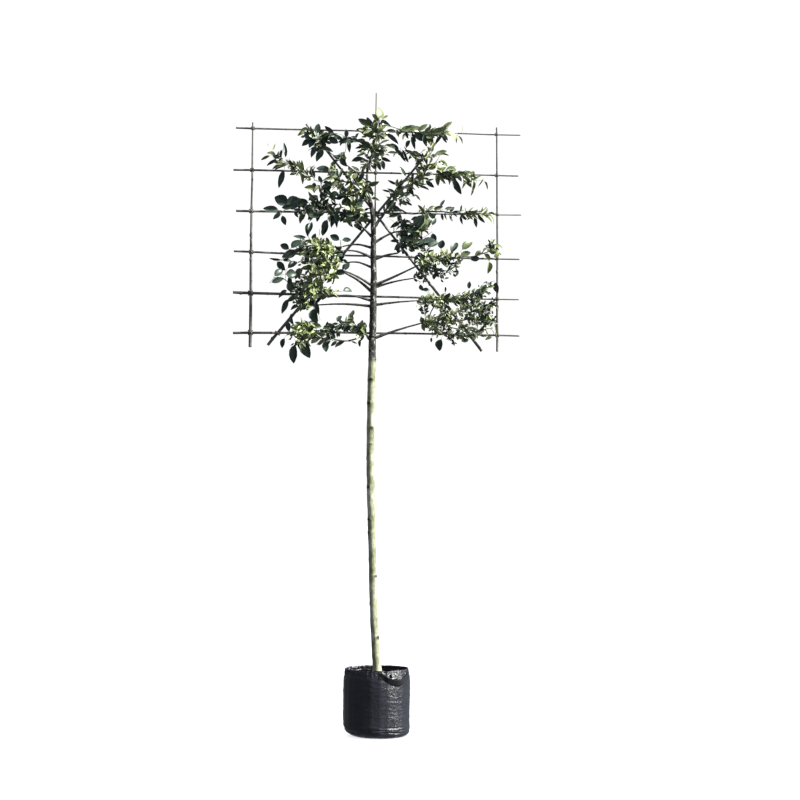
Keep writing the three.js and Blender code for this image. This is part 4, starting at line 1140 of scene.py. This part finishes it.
def startPoints(mass):  # what the new wood of a mass may grow from: the stem, bough ends, a neighbour's twigs
    low, high = corners(mass)
    places, headings, radii = [], [], []
    near = growth["near"]
    for p, heading, radius in boughTips:
        if np.all(p > low - near) and np.all(p < high + near):
            places.append(p)
            headings.append(heading)
            radii.append(radius)
    reach = np.array([0.005 if places else 0.07, 0.1, -0.01])
    for at in range(0, len(stemPath), 12):
        p = stemPath[at]
        if p[2] > growth["lowestShoot"] and np.all(p > low - reach) and np.all(p < high + reach):
            places.append(p)
            headings.append(unit(np.array([(low[0] + high[0]) / 2 - p[0], 0, 0.1])))
            radii.append(stemRadii[at] * 0.5)
    if not places:
        middle = (low + high) / 2
        room = np.clip(everyNode["place"], low, high)
        at = int(np.linalg.norm(everyNode["place"] - room, axis=1).argmin())
        p = everyNode["place"][at]
        places.append(p)
        headings.append(unit(middle - p))
        radii.append(everyNode["radius"][at])
    return np.array(places), np.array(headings), np.array(radii)


def insideTest(mass):
    tree = nodeTree(mass)

    def inside(p, slack):
        place, normal, _, gap = tree.find_nearest(Vector(p))
        return gap < slack or (Vector(p) - place).dot(normal) < 0

    return inside


def aims(mass, plan):  # where the leafy shoots of each spray end
    low, high = corners(mass)
    inside = insideTest(mass)
    depth = (high[1] - low[1]) / 2
    found = []
    for u, v, spread, shoots, tint in plan["sprays"]:
        middle = inBox(mass, u, v)
        for _ in range(shoots):
            for _ in range(30):
                p = middle + rng.normal(0, 1, 3) * [spread, 0, spread] * 0.8
                back = 1 if tint < 2 else 0.35  # the sunny tints keep to the front
                p[1] = middle[1] + depth * 0.82 * rng.uniform(-1, back)
                if inside(p, 0.012):
                    break
            found.append((p, tint, None))
    for u, v, angle, length, slim, tint in plan["singles"]:
        middle = inBox(mass, u, v)
        middle[1] -= depth * rng.uniform(0.0, 0.6)
        way = np.array([math.cos(math.radians(angle)), 0, math.sin(math.radians(angle))])
        way[1] = rng.uniform(-0.25, 0.15)
        foot, tip = middle - way * length * 0.58, middle + way * length * 0.58
        found.append((foot, tint, (tip, slim)))
    return found


def growWood(places, headings, targets):
    place = list(places)
    parent = [-1] * len(places)
    heading = list(headings)
    ends = [-1] * len(targets)
    goal = np.array([t[0] for t in targets])
    waiting = np.ones(len(targets), bool)
    nodes = np.array(place)
    gaps = np.linalg.norm(goal[:, None, :] - nodes[None, :, :], axis=2)
    nearest, distance = gaps.argmin(axis=1), gaps.min(axis=1)
    for _ in range(growth["rounds"]):
        if not waiting.any():
            break
        awake = waiting & (distance < max(growth["sight"], distance[waiting].min() + 0.001))
        fresh = []
        for at in np.unique(nearest[awake]):
            pull = goal[awake & (nearest == at)] - place[at]
            pull = unit(pull).mean(axis=0)
            way = unit(unit(pull) + heading[at] * growth["inertia"] + rng.normal(0, 1, 3) * growth["wobble"])
            new = place[at] + way * growth["step"]
            place.append(new)
            parent.append(int(at))
            heading.append(way)
            fresh.append(len(place) - 1)
        newPlaces = np.array([place[i] for i in fresh])
        gaps = np.linalg.norm(goal[:, None, :] - newPlaces[None, :, :], axis=2)
        best, least = gaps.argmin(axis=1), gaps.min(axis=1)
        closer = least < distance
        nearest = np.where(closer, np.array(fresh)[best], nearest)
        stuck = awake & ~closer
        distance = np.where(closer, least, distance)
        done = waiting & (distance < growth["kill"])
        for t in np.flatnonzero(done):
            ends[t] = int(nearest[t])
        for t in np.flatnonzero(stuck & (rng.random(len(goal)) < growth["giveUp"])):
            ends[t] = int(nearest[t])
            done[t] = True
        waiting &= ~done
    for t in np.flatnonzero(waiting):
        ends[t] = int(nearest[t])
    for t, (point, _, single) in enumerate(targets):  # the last stretch, right up to a single leaf's foot
        slack = 0.004 if single else growth["kill"]
        while np.linalg.norm(point - place[ends[t]]) > slack:
            at = ends[t]
            left = point - place[at]
            stride = min(growth["step"], np.linalg.norm(left))
            way = unit(unit(left) + heading[at] * 0.25 * (stride == growth["step"]))
            place.append(place[at] + way * stride)
            parent.append(at)
            heading.append(way)
            ends[t] = len(place) - 1
            if len(place) > growth["mostSteps"]:
                break
    return np.array(place), parent, ends


def woodRadii(parent, ends):  # every fork is as thick as what it carries
    load = np.zeros(len(parent))
    for e in set(ends):
        load[e] = max(load[e], growth["tip"] ** growth["fork"])
    for i in range(len(parent) - 1, -1, -1):
        if load[i] == 0:
            load[i] = growth["tip"] ** growth["fork"]
        if parent[i] >= 0:
            load[parent[i]] += load[i]
    radii = load ** (1 / growth["fork"])
    return np.minimum(radii, growth["thickest"])


def strands(parent, radii, roots):  # one unbroken line for each fork, the thickest child going on
    children = {}
    for i, p in enumerate(parent):
        if p >= 0:
            children.setdefault(p, []).append(i)
    lines = []
    pending = [(r, c) for r in range(roots) for c in children.get(r, [])]
    while pending:
        start, at = pending.pop()
        line = [start, at]
        while children.get(at):
            rest = sorted(children[at], key=lambda c: -radii[c])
            pending += [(at, c) for c in rest[1:]]
            at = rest[0]
            line.append(at)
        lines.append(line)
    return lines


def leafFace(tint, outward):  # shaded leaves face out of the panel, sunny ones turn to the light
    share = tint / 3
    face = np.array([-0.6, 0, 0.1]) * (1 - share) + np.array([0.58, 0, 0.45]) * share
    return face + outward * (1 - 0.2 * share) + rng.normal(0, 0.33 - 0.08 * share, 3)


def leafyShoot(foliage, place, parent, end, plan, tint):
    walk = [end]
    reach = 0.0
    while parent[walk[-1]] >= 0 and reach < growth["shoot"] * rng.uniform(0.7, 1.3):
        walk.append(parent[walk[-1]])
        reach += np.linalg.norm(place[walk[-1]] - place[walk[-2]])
    line = np.array([place[i] for i in walk])
    if len(line) < 2:
        return
    size = plan["leaf"] * growth["grown"]
    gap = growth["gap"] * (plan["leaf"] / 0.05) ** 0.5
    path, share = resample(line, gap)
    _, _, heading = turnFrames(path)
    spin = rng.uniform(0, 2 * math.pi)
    outward = np.array([0, 1.0 if path[0][1] > 0.03 else -1.0, 0])
    for i, (p, s) in enumerate(zip(path, share)):
        along = -heading[i]  # the walk runs from the tip back
        grown = (0.62 + 0.5 * s) * rng.uniform(0.75, 1.2)
        spin += 2.4 + rng.normal(0, 0.35)
        side = unit(np.cross(along, [0.05, 1, 0.1]))
        up = np.cross(side, along)
        out = side * math.cos(spin) + up * math.sin(spin)
        out = unit(out * [1, 0.45, 1])
        angle = rng.uniform(0.6, 1.2) if i else rng.uniform(0.0, 0.35)
        way = along * math.cos(angle) + out * math.sin(angle)
        way = unit(way + np.array([0, 0, plan["lift"] * rng.uniform(0.0, 1.0) - 0.22 * rng.random()]))
        face = leafFace(tint, outward)
        own = tint + int(rng.choice([0, 1, 2, -1, -2], p=[0.35, 0.32, 0.17, 0.11, 0.05]))
        own = int(np.clip(own, 0, 3))
        slim = plan["slim"] * rng.uniform(0.82, 1.15)
        foliage.leaf(p, way, face, size * grown, slim, own)


order = [  # a mass that starts from a neighbour's twigs comes after it
    "leaves_left_5", "leaves_left_6", "leaves_left_4", "leaves_right_2", "leaves_leader", "leaves_left_8",
    "leaves_left_7", "leaves_right_6", "leaves_right_7", "leaves_right_5", "leaves_right_8",
    "leaves_right_9", "leaves_right_10", "leaves_left_1", "leaves_left_3", "leaves_left_2",
    "leaves_right_3", "leaves_right_1", "leaves_right_4"
]

leafTotal = 0
for number, mass in enumerate(order):
    plan = massPlan[mass]
    places, headings, rootRadii = startPoints(mass)
    targets = aims(mass, plan)
    place, parent, ends = growWood(places, headings, targets)
    roots = len(places)
    radii = woodRadii(parent, ends)
    for _ in range(2):  # eases the kinks out of the wood
        eased = place.copy()
        for i, p in enumerate(parent):
            if p >= 0 and parent[p] >= 0:
                eased[p] = eased[p] * 0.7 + (place[i] + place[parent[p]]) * 0.15
        place[roots:] = eased[roots:]
    wood = Heap()
    for line in strands(parent, radii, roots):
        path = place[line]
        thick = radii[line].copy()
        thick[0] = thick[1]
        if line[0] < roots:
            thick = np.minimum(thick, rootRadii[line[0]])
        if len(path) > 3:
            path = smoothLine(path, 2)
        sides = 7 if thick.max() > 0.002 else 5
        points, faces, grain = tube(path, thick, sides, shift=rng.uniform(0, 9))
        wood.add(points, faces, 1 if thick.max() < growth["green"] else 0, grain)
    twigs = wood.piece(mass.replace("leaves_", "twigs_"), [twigLook, shootLook])
    settle(twigs, "bough", mass)
    foliage = Foliage()
    for end, (_, tint, single) in zip(ends, targets):
        if single is None:
            leafyShoot(foliage, place, parent, end, plan, tint)
            continue
        tip, slim = single
        reach = tip - place[end]
        face = leafFace(tint, np.array([0, -1.7, 0]))
        foliage.leaf(place[end], reach, face, np.linalg.norm(reach), slim * 1.12, tint)
    blades = foliage.piece(mass.replace("leaves_", "foliage_"), [*leafTints, veinLook])
    settle(blades, "leaf", mass)
    leafTotal += len(foliage.rows)
    everyNode["place"] = np.vstack([everyNode["place"], place[roots:]])
    everyNode["radius"] = np.concatenate([everyNode["radius"], radii[roots:]])
    print("grown", mass, len(place), "wood steps,", len(foliage.rows), "leaves")
print("leaves in all", leafTotal)


# the grow bag: one soft wall from its base to a turned-in, puckered rim

bagPiece = {"around": 380, "footRows": (0.0004, 0.0015, 0.004, 0.008, 0.013), "wallRows": 120, "wall": 0.0016,
            "dent": 0.0026, "crease": 0.0019, "fold": 0.0006, "crinkle": 0.0009, "pucker": 0.0024,
            "ruffle": 0.0075, "shoulder": 0.007, "farShoulder": 0.006, "uneven": 0.0035, "hem": 0.024,
            "hemGap": 0.0036, "hemWave": 0.0005, "inside": 0.085}
rimRoll = [(0.0003, 0.0012), (-0.0009, 0.0019), (-0.0021, 0.0017), (-0.0031, 0.0006)]  # out, up


def ring(radius, turn, z):
    return np.stack([radius * np.cos(turn), radius * np.sin(turn), radius * 0 + z], axis=1)


def roundFaces(around, rows, outward):  # a fan round the first point, then a band for each pair of rings
    faces = []
    for k in range(around):
        n = (k + 1) % around
        faces.append((0, 1 + k, 1 + n) if outward else (0, 1 + n, 1 + k))
    for i in range(rows - 1):
        for k in range(around):
            n = (k + 1) % around
            a = 1 + i * around
            quad = (a + k, a + n, a + around + n, a + around + k)
            faces.append((quad[0], *quad[:0:-1]) if outward else quad)
    return faces


def bagReader():  # the CAD bag's radius at a height and a direction
    tree = nodeTree("grow_bag")

    def reach(turn, z):
        out = Vector((math.cos(turn), math.sin(turn), 0))
        hit = tree.ray_cast(out * 0.6 + Vector((0, 0, z)), -out)
        return math.hypot(hit[0].x, hit[0].y)

    return reach


def bagWrinkles(s, turn, z, rim):  # the wall's relief, how far its top leans in, and the rim's band
    c, d = np.cos(turn)[None, :] * np.ones_like(z), np.sin(turn)[None, :] * np.ones_like(z)
    spot = np.stack([c * 0.17, d * 0.17, z], axis=-1).reshape(-1, 3)

    def waves(scale, shift=(0, 0, 0), depth=2):
        return ripple(spot * scale + shift, 1.0, depth).reshape(z.shape)

    dents = waves([6, 6, 5])
    ridged = 1 - 2 * np.abs(waves([7, 7, 55], [7, 3, 1], 3))
    folds = 1 - 2 * np.abs(waves([9, 9, 34], [2, 9, 5]))
    ruffle = 1 - 2 * np.abs(waves([48, 48, 110], [4, 4, 8]))
    pucker = waves([55, 55, 8])
    fine = waves([300, 300, 150])
    foot = smoothStep(z, 0.0, 0.02)
    lowBand = foot * (1 - smoothStep(z, 0.03, 0.075))
    middleBand = smoothStep(z, 0.05, 0.12) * (1 - smoothStep(z, 0.27, 0.32))
    topBand = smoothStep(z, rim - 0.06, rim - 0.01)
    left = np.clip(-np.cos(turn), 0, 1)[None, :] ** 2
    wrinkle = s["dent"] * dents * foot + s["crease"] * ridged * lowBand * 2 + s["pucker"] * pucker * topBand
    wrinkle += s["fold"] * np.clip(folds - 0.6, 0, 1) * 3 * middleBand + s["crinkle"] * fine * foot
    wrinkle += s["ruffle"] * ruffle * smoothStep(z, rim - 0.035, rim - 0.008) * (0.35 + 0.65 * left)
    shoulder = (s["shoulder"] + s["farShoulder"] * left) * smoothStep(z, rim - 0.05, rim + 0.004)
    return wrinkle, shoulder, topBand


def bagShape(s):
    reach = bagReader()
    rim = corners("grow_bag")[1][2]
    turn = np.linspace(0, 2 * math.pi, s["around"], endpoint=False)
    levels = np.concatenate([s["footRows"], np.linspace(0.019, rim - 0.0005, s["wallRows"])])
    grid = np.array([[reach(a, z) for a in turn] for z in levels])
    for _ in range(8):  # rounds the facets off
        grid = grid * 0.5 + (np.roll(grid, 1, axis=1) + np.roll(grid, -1, axis=1)) * 0.25
    grid = smoothLine(grid, 3)
    z = np.repeat(levels[:, None], len(turn), axis=1)
    wrinkle, shoulder, topBand = bagWrinkles(s, turn, z, rim)
    outer = grid + wrinkle - shoulder
    rimWave = ripple(np.stack([np.cos(turn) * 2.2, np.sin(turn) * 2.2, turn * 0], axis=1), 1.0, 3)
    lift = z + topBand * (s["uneven"] * rimWave)[None, :]

    def skinAt(depth):  # the outside's radius this far below the rim, all the way round
        return np.array([np.interp(rim - depth, levels, outer[:, j]) for j in range(len(turn))])

    rows = [ring(outer[0] * 0.5, turn, 0.0004), ring(outer[0] * 0.93, turn, 0.0002)]  # the underside
    rows += [ring(r, turn, h) for r, h in zip(outer, lift)]
    rows += [ring(outer[-1] + out, turn, lift[-1] + up) for out, up in rimRoll]
    for k, depth in enumerate(np.linspace(0.003, s["hem"], 9)):  # the turned-in hem, then the wall inside
        rows.append(ring(skinAt(depth) - s["hemGap"] - s["hemWave"] * math.sin(k), turn, lift[-1] - depth))
    rows.append(ring(skinAt(s["hem"]) - 0.0018, turn, lift[-1] - s["hem"] - 0.0008))
    for depth in np.linspace(s["hem"] + 0.006, s["inside"], 14):
        rows.append(ring(skinAt(depth) - s["wall"], turn, rim - depth))
    points = np.vstack([[[0, 0, 0.0006]], *rows])
    return points, roundFaces(len(turn), len(rows), False), turn, levels, outer


bagLook = bagMaterial()
bagPoints, bagFaces, bagTurn, bagLevels, bagOuter = bagShape(bagPiece)
bag = makePiece("grow_bag_skin", bagPoints, bagFaces, [bagLook])
settle(bag, "bag", "grow_bag")
print("bag made", len(bagFaces))


def bagSkin(turn, z):  # the finished skin's radius
    column = int(math.floor((turn % (2 * math.pi)) / (2 * math.pi) * len(bagTurn))) % len(bagTurn)
    return float(np.interp(z, bagLevels, bagOuter[:, column]))


# carrying straps, sewn flat at both ends and drooping between

strapPiece = {"width": 0.028, "thick": 0.0018, "steps": 60, "half": 0.58, "turned": 0.04, "below": 0.004,
              "droop": 0.038, "lying": 0.0012, "proud": 0.009, "edge": 0.0006}
patchPiece = {"cells": 6, "column": 0.024, "row": 0.0062, "below": 0.026, "proud": 0.0026, "hem": 0.0011,
              "stitch": 0.0006}


def facingOf(node):  # the way round the bag that a node faces
    low, high = corners(node)
    middle = (low + high) / 2
    return math.atan2(middle[1], middle[0])


def sheetFaces(across, down):
    faces = []
    for i in range(across - 1):
        for k in range(down - 1):
            a = i * down + k
            faces.append((a, a + down, a + down + 1, a + 1))
    return faces


def strapShape(facing, top, s):
    upright = np.array([0, 0, 1.0])
    rows = []
    for i in range(s["steps"] + 1):
        t = i / s["steps"]
        turn = facing - s["half"] + 2 * s["half"] * t
        hang = math.sin(math.pi * t) ** 0.9
        z = top - s["below"] - s["droop"] * hang
        tilt = 0.5 * math.sin(2 * math.pi * t) + 0.3 * hang
        proud = s["lying"] + s["proud"] * hang
        base = bagSkin(turn, z) + proud
        out = np.array([math.cos(turn), math.sin(turn), 0])
        up = upright * math.cos(tilt * 0.5) + out * math.sin(tilt * 0.5)
        normal = out * math.cos(tilt * 0.5) - upright * math.sin(tilt * 0.5)
        p = out * base + np.array([0, 0, z])
        for a, b in ((-0.5, 0), (-0.46, 1), (0.46, 1), (0.5, 0)):
            rows.append(p + up * a * s["width"] + normal * b * s["thick"])
    faces = []
    for i in range(s["steps"]):
        for c in range(4):
            d = (c + 1) % 4
            faces.append((i * 4 + c, i * 4 + d, i * 4 + 4 + d, i * 4 + 4 + c))
    faces += [(3, 2, 1, 0), tuple(s["steps"] * 4 + c for c in range(4))]
    return np.array(rows), faces


def patchShape(facing, top, s):  # the sewn patch at a strap's end
    last = s["cells"]
    rows = []
    for i in range(last + 1):
        turn = facing + (i - last / 2) * s["column"]
        for k in range(last + 1):
            z = top - s["below"] + k * s["row"]
            atEdge = i in (0, last) or k in (0, last)
            puff = s["proud"] - s["hem"] * atEdge - s["stitch"] * ((i + k) % 2)
            r = bagSkin(turn, min(z, bagLevels[-1])) + puff
            rows.append((r * math.cos(turn), r * math.sin(turn), z))
    return np.array(rows), sheetFaces(last + 1, last + 1)


for node in ("strap_front", "strap_back"):
    facing, top = facingOf(node) - strapPiece["turned"], corners(node)[1][2]
    heap = Heap()
    heap.add(*strapShape(facing, top, strapPiece))
    for end in (-1, 1):
        heap.add(*patchShape(facing + end * strapPiece["half"], top, patchPiece))
    strap = heap.piece(node + "_webbing", [webbingLook], smooth=False)
    strap.modifiers.new("edge", "SOLIDIFY").thickness = strapPiece["edge"]
    settle(strap, "strap", node)


tagPiece = {"across": 17, "down": 13, "turned": 0.15, "column": 0.0175, "row": 0.0024, "above": 0.007,
            "ragged": 0.006, "crumple": 0.0055, "crinkle": 0.002, "proud": 0.009, "thick": 0.0007}


def tagShape(s):  # a small blank crumpled tag tucked behind the front strap
    facing, top = facingOf("strap_front") - s["turned"], corners("strap_front")[1][2]
    rows = []
    for i in range(s["across"]):
        turn = facing + (i - s["across"] // 2) * s["column"]
        for k in range(s["down"]):
            ragged = s["ragged"] * noise.noise(Vector((i * 0.35, k * 0.2, 7.7)))
            z = top + s["above"] - k * s["row"] + ragged
            crumple = s["crumple"] * noise.noise(Vector((i * 0.33, k * 0.4, 3.3)))
            crumple = crumple + s["crinkle"] * noise.noise(Vector((i, k, 1.3)))
            r = bagSkin(turn, min(z, bagLevels[-1])) + s["proud"] + crumple
            rows.append((r * math.cos(turn), r * math.sin(turn), z))
    return rows, sheetFaces(s["across"], s["down"])


points, faces = tagShape(tagPiece)
tag = makePiece("blank_tag", points, faces, [tagMaterial()])
tag.modifiers.new("edge", "SOLIDIFY").thickness = tagPiece["thick"]
settle(tag, "strap")
print("straps made")


# compost: a lumpy top with crumbs and bark chips on it

compostPiece = {"rings": 40, "around": 120, "gap": 0.0035, "lumps": 0.0038, "grit": 0.0018, "climb": 0.004,
                "crumbs": 900, "smallest": 0.0018, "largest": 0.0065}


def compostShape(s):
    top = corners("root_ball")[1][2]
    turn = np.linspace(0, 2 * math.pi, s["around"], endpoint=False)
    wall = np.array([bagSkin(a, top) for a in turn]) - s["gap"]
    rows = []
    for share in np.linspace(0.03, 1, s["rings"]):
        r = wall * share
        spot = ring(r, turn, 0)
        bump = s["lumps"] * ripple(spot, 26, 4) + s["grit"] * ripple(spot, 110, 3)
        edge = s["climb"] * smoothStep(share, 0.85, 1.0)
        rows.append(ring(r, turn, top - 0.001 + bump + edge))
    for z in (top - 0.03, top - 0.12, 0.03):
        scale = 0.99 if z > 0.05 else 0.8
        r = np.array([bagSkin(a, z) for a in turn]) - 0.005
        rows.append(ring(r * scale, turn, z))
    points = np.vstack([[[0, 0, top]], *rows])
    faces = roundFaces(len(turn), len(rows), True)
    last = len(points) - len(turn)
    faces.append(tuple(last + k for k in range(len(turn)))[::-1])
    return points, faces, top, wall.min()


points, faces, compostTop, compostReach = compostShape(compostPiece)
compostLook = compostMaterial()
heap = Heap()
heap.add(points, faces)
lump = np.array([(1, 0, 0), (-1, 0, 0), (0, 1, 0), (0, -1, 0), (0, 0, 1), (0, 0, -1)], float)
lumpFaces = [(0, 2, 4), (2, 1, 4), (1, 3, 4), (3, 0, 4), (2, 0, 5), (1, 2, 5), (3, 1, 5), (0, 3, 5)]
for _ in range(compostPiece["crumbs"]):
    a, r = rng.uniform(0, 2 * math.pi), compostReach * math.sqrt(rng.uniform(0.03, 0.94))
    size = rng.uniform(compostPiece["smallest"], compostPiece["largest"])
    size = size * np.array([1, rng.uniform(0.5, 1), rng.uniform(0.3, 0.7)])
    spin = rng.uniform(0, math.pi)
    shape = lump * size * rng.uniform(0.75, 1.2, (6, 1))
    c, d = math.cos(spin), math.sin(spin)
    turned = shape @ np.array([[c, d, 0], [-d, c, 0], [0, 0, 1]])
    heap.add(turned + [r * math.cos(a), r * math.sin(a), compostTop + 0.0015], lumpFaces)
compost = heap.piece("compost_ball", [compostLook])
settle(compost, "soil", "root_ball")
print("compost made")


# floor, sky and light

lightSetup = {"sun": 15.0, "sunSize": 3.0, "sunRound": 69, "sunHeight": 36, "skyLow": 0.42, "skyHigh": 1.28,
              "farSide": 0.4, "backdrop": 1.06, "wash": 2.7, "washSize": 10, "floorHalf": 60}


def floorMaterial():
    material, tree, surface = shader("paleFloor", Roughness=0.9, Specular_IOR_Level=0.1)
    place = objectSpace(tree)
    link(tree, ramp(tree, cloud(tree, place, 3, 3), (0.3, 0.86), (0.7, 0.9)), surface.inputs["Base Color"])
    return material


def addSun(name, strength, size, colour, towards):
    data = bpy.data.lights.new(name, "SUN")
    data.energy = strength
    data.angle = math.radians(size)
    data.color = colour
    sun = bpy.data.objects.new(name, data)
    sun.rotation_euler = (-towards).to_track_quat("-Z", "Y").to_euler()
    scene.collection.objects.link(sun)
    return sun


def lightOnly(sun, thing, state):  # the sun either lights only this thing, or everything but it
    group = bpy.data.collections.new(sun.name + "Reach")
    group.objects.link(thing)
    group.collection_objects[0].light_linking.link_state = state
    sun.light_linking.receiver_collection = group
    if state == "INCLUDE":
        sun.light_linking.blocker_collection = group


def makeStage(s):
    half = s["floorHalf"]
    ground = [(-half, -half, 0), (half, -half, 0), (half, half, 0), (-half, half, 0)]
    floor = makePiece("studio_floor", ground, [(0, 1, 2, 3)], [floorMaterial()])
    floor.visible_diffuse = floor.visible_glossy = False  # its own brightness stays off the plant
    heading, up = math.radians(s["sunRound"]), math.radians(s["sunHeight"])
    towards = Vector((math.sin(heading) * math.cos(up), -math.cos(heading) * math.cos(up), math.sin(up)))
    lightOnly(addSun("keySun", s["sun"], s["sunSize"], (1.0, 0.975, 0.93), towards), floor, "EXCLUDE")
    lightOnly(addSun("floorWash", s["wash"], s["washSize"], (1, 1, 1), Vector((0, 0, 1))), floor, "INCLUDE")
    world = bpy.data.worlds.new("studioSky")
    scene.world = world
    world.use_nodes = True
    tree = world.node_tree
    background = tree.nodes["Background"]
    parts = tree.nodes.new("ShaderNodeSeparateXYZ")
    link(tree, tree.nodes.new("ShaderNodeTexCoord").outputs["Generated"], parts.inputs[0])
    tones = [(t * 0.9, t * 0.97, t * 1.1) for t in (s["skyLow"], s["skyHigh"])]
    sky = ramp(tree, parts.outputs["Z"], (0.1, tones[0]), (0.8, tones[1]))
    across = maths(tree, "ADD", maths(tree, "MULTIPLY", parts.outputs["X"], 0.5), 0.5)
    sky = blendColours(tree, 1.0, sky, ramp(tree, across, (0.2, s["farSide"]), (0.55, 1.0)), "MULTIPLY")
    seen = tree.nodes.new("ShaderNodeLightPath").outputs["Is Camera Ray"]
    link(tree, blendColours(tree, seen, sky, (s["backdrop"],) * 3), background.inputs["Color"])
    scene.view_settings.view_transform = "Standard"


makeStage(lightSetup)
print("stage set")
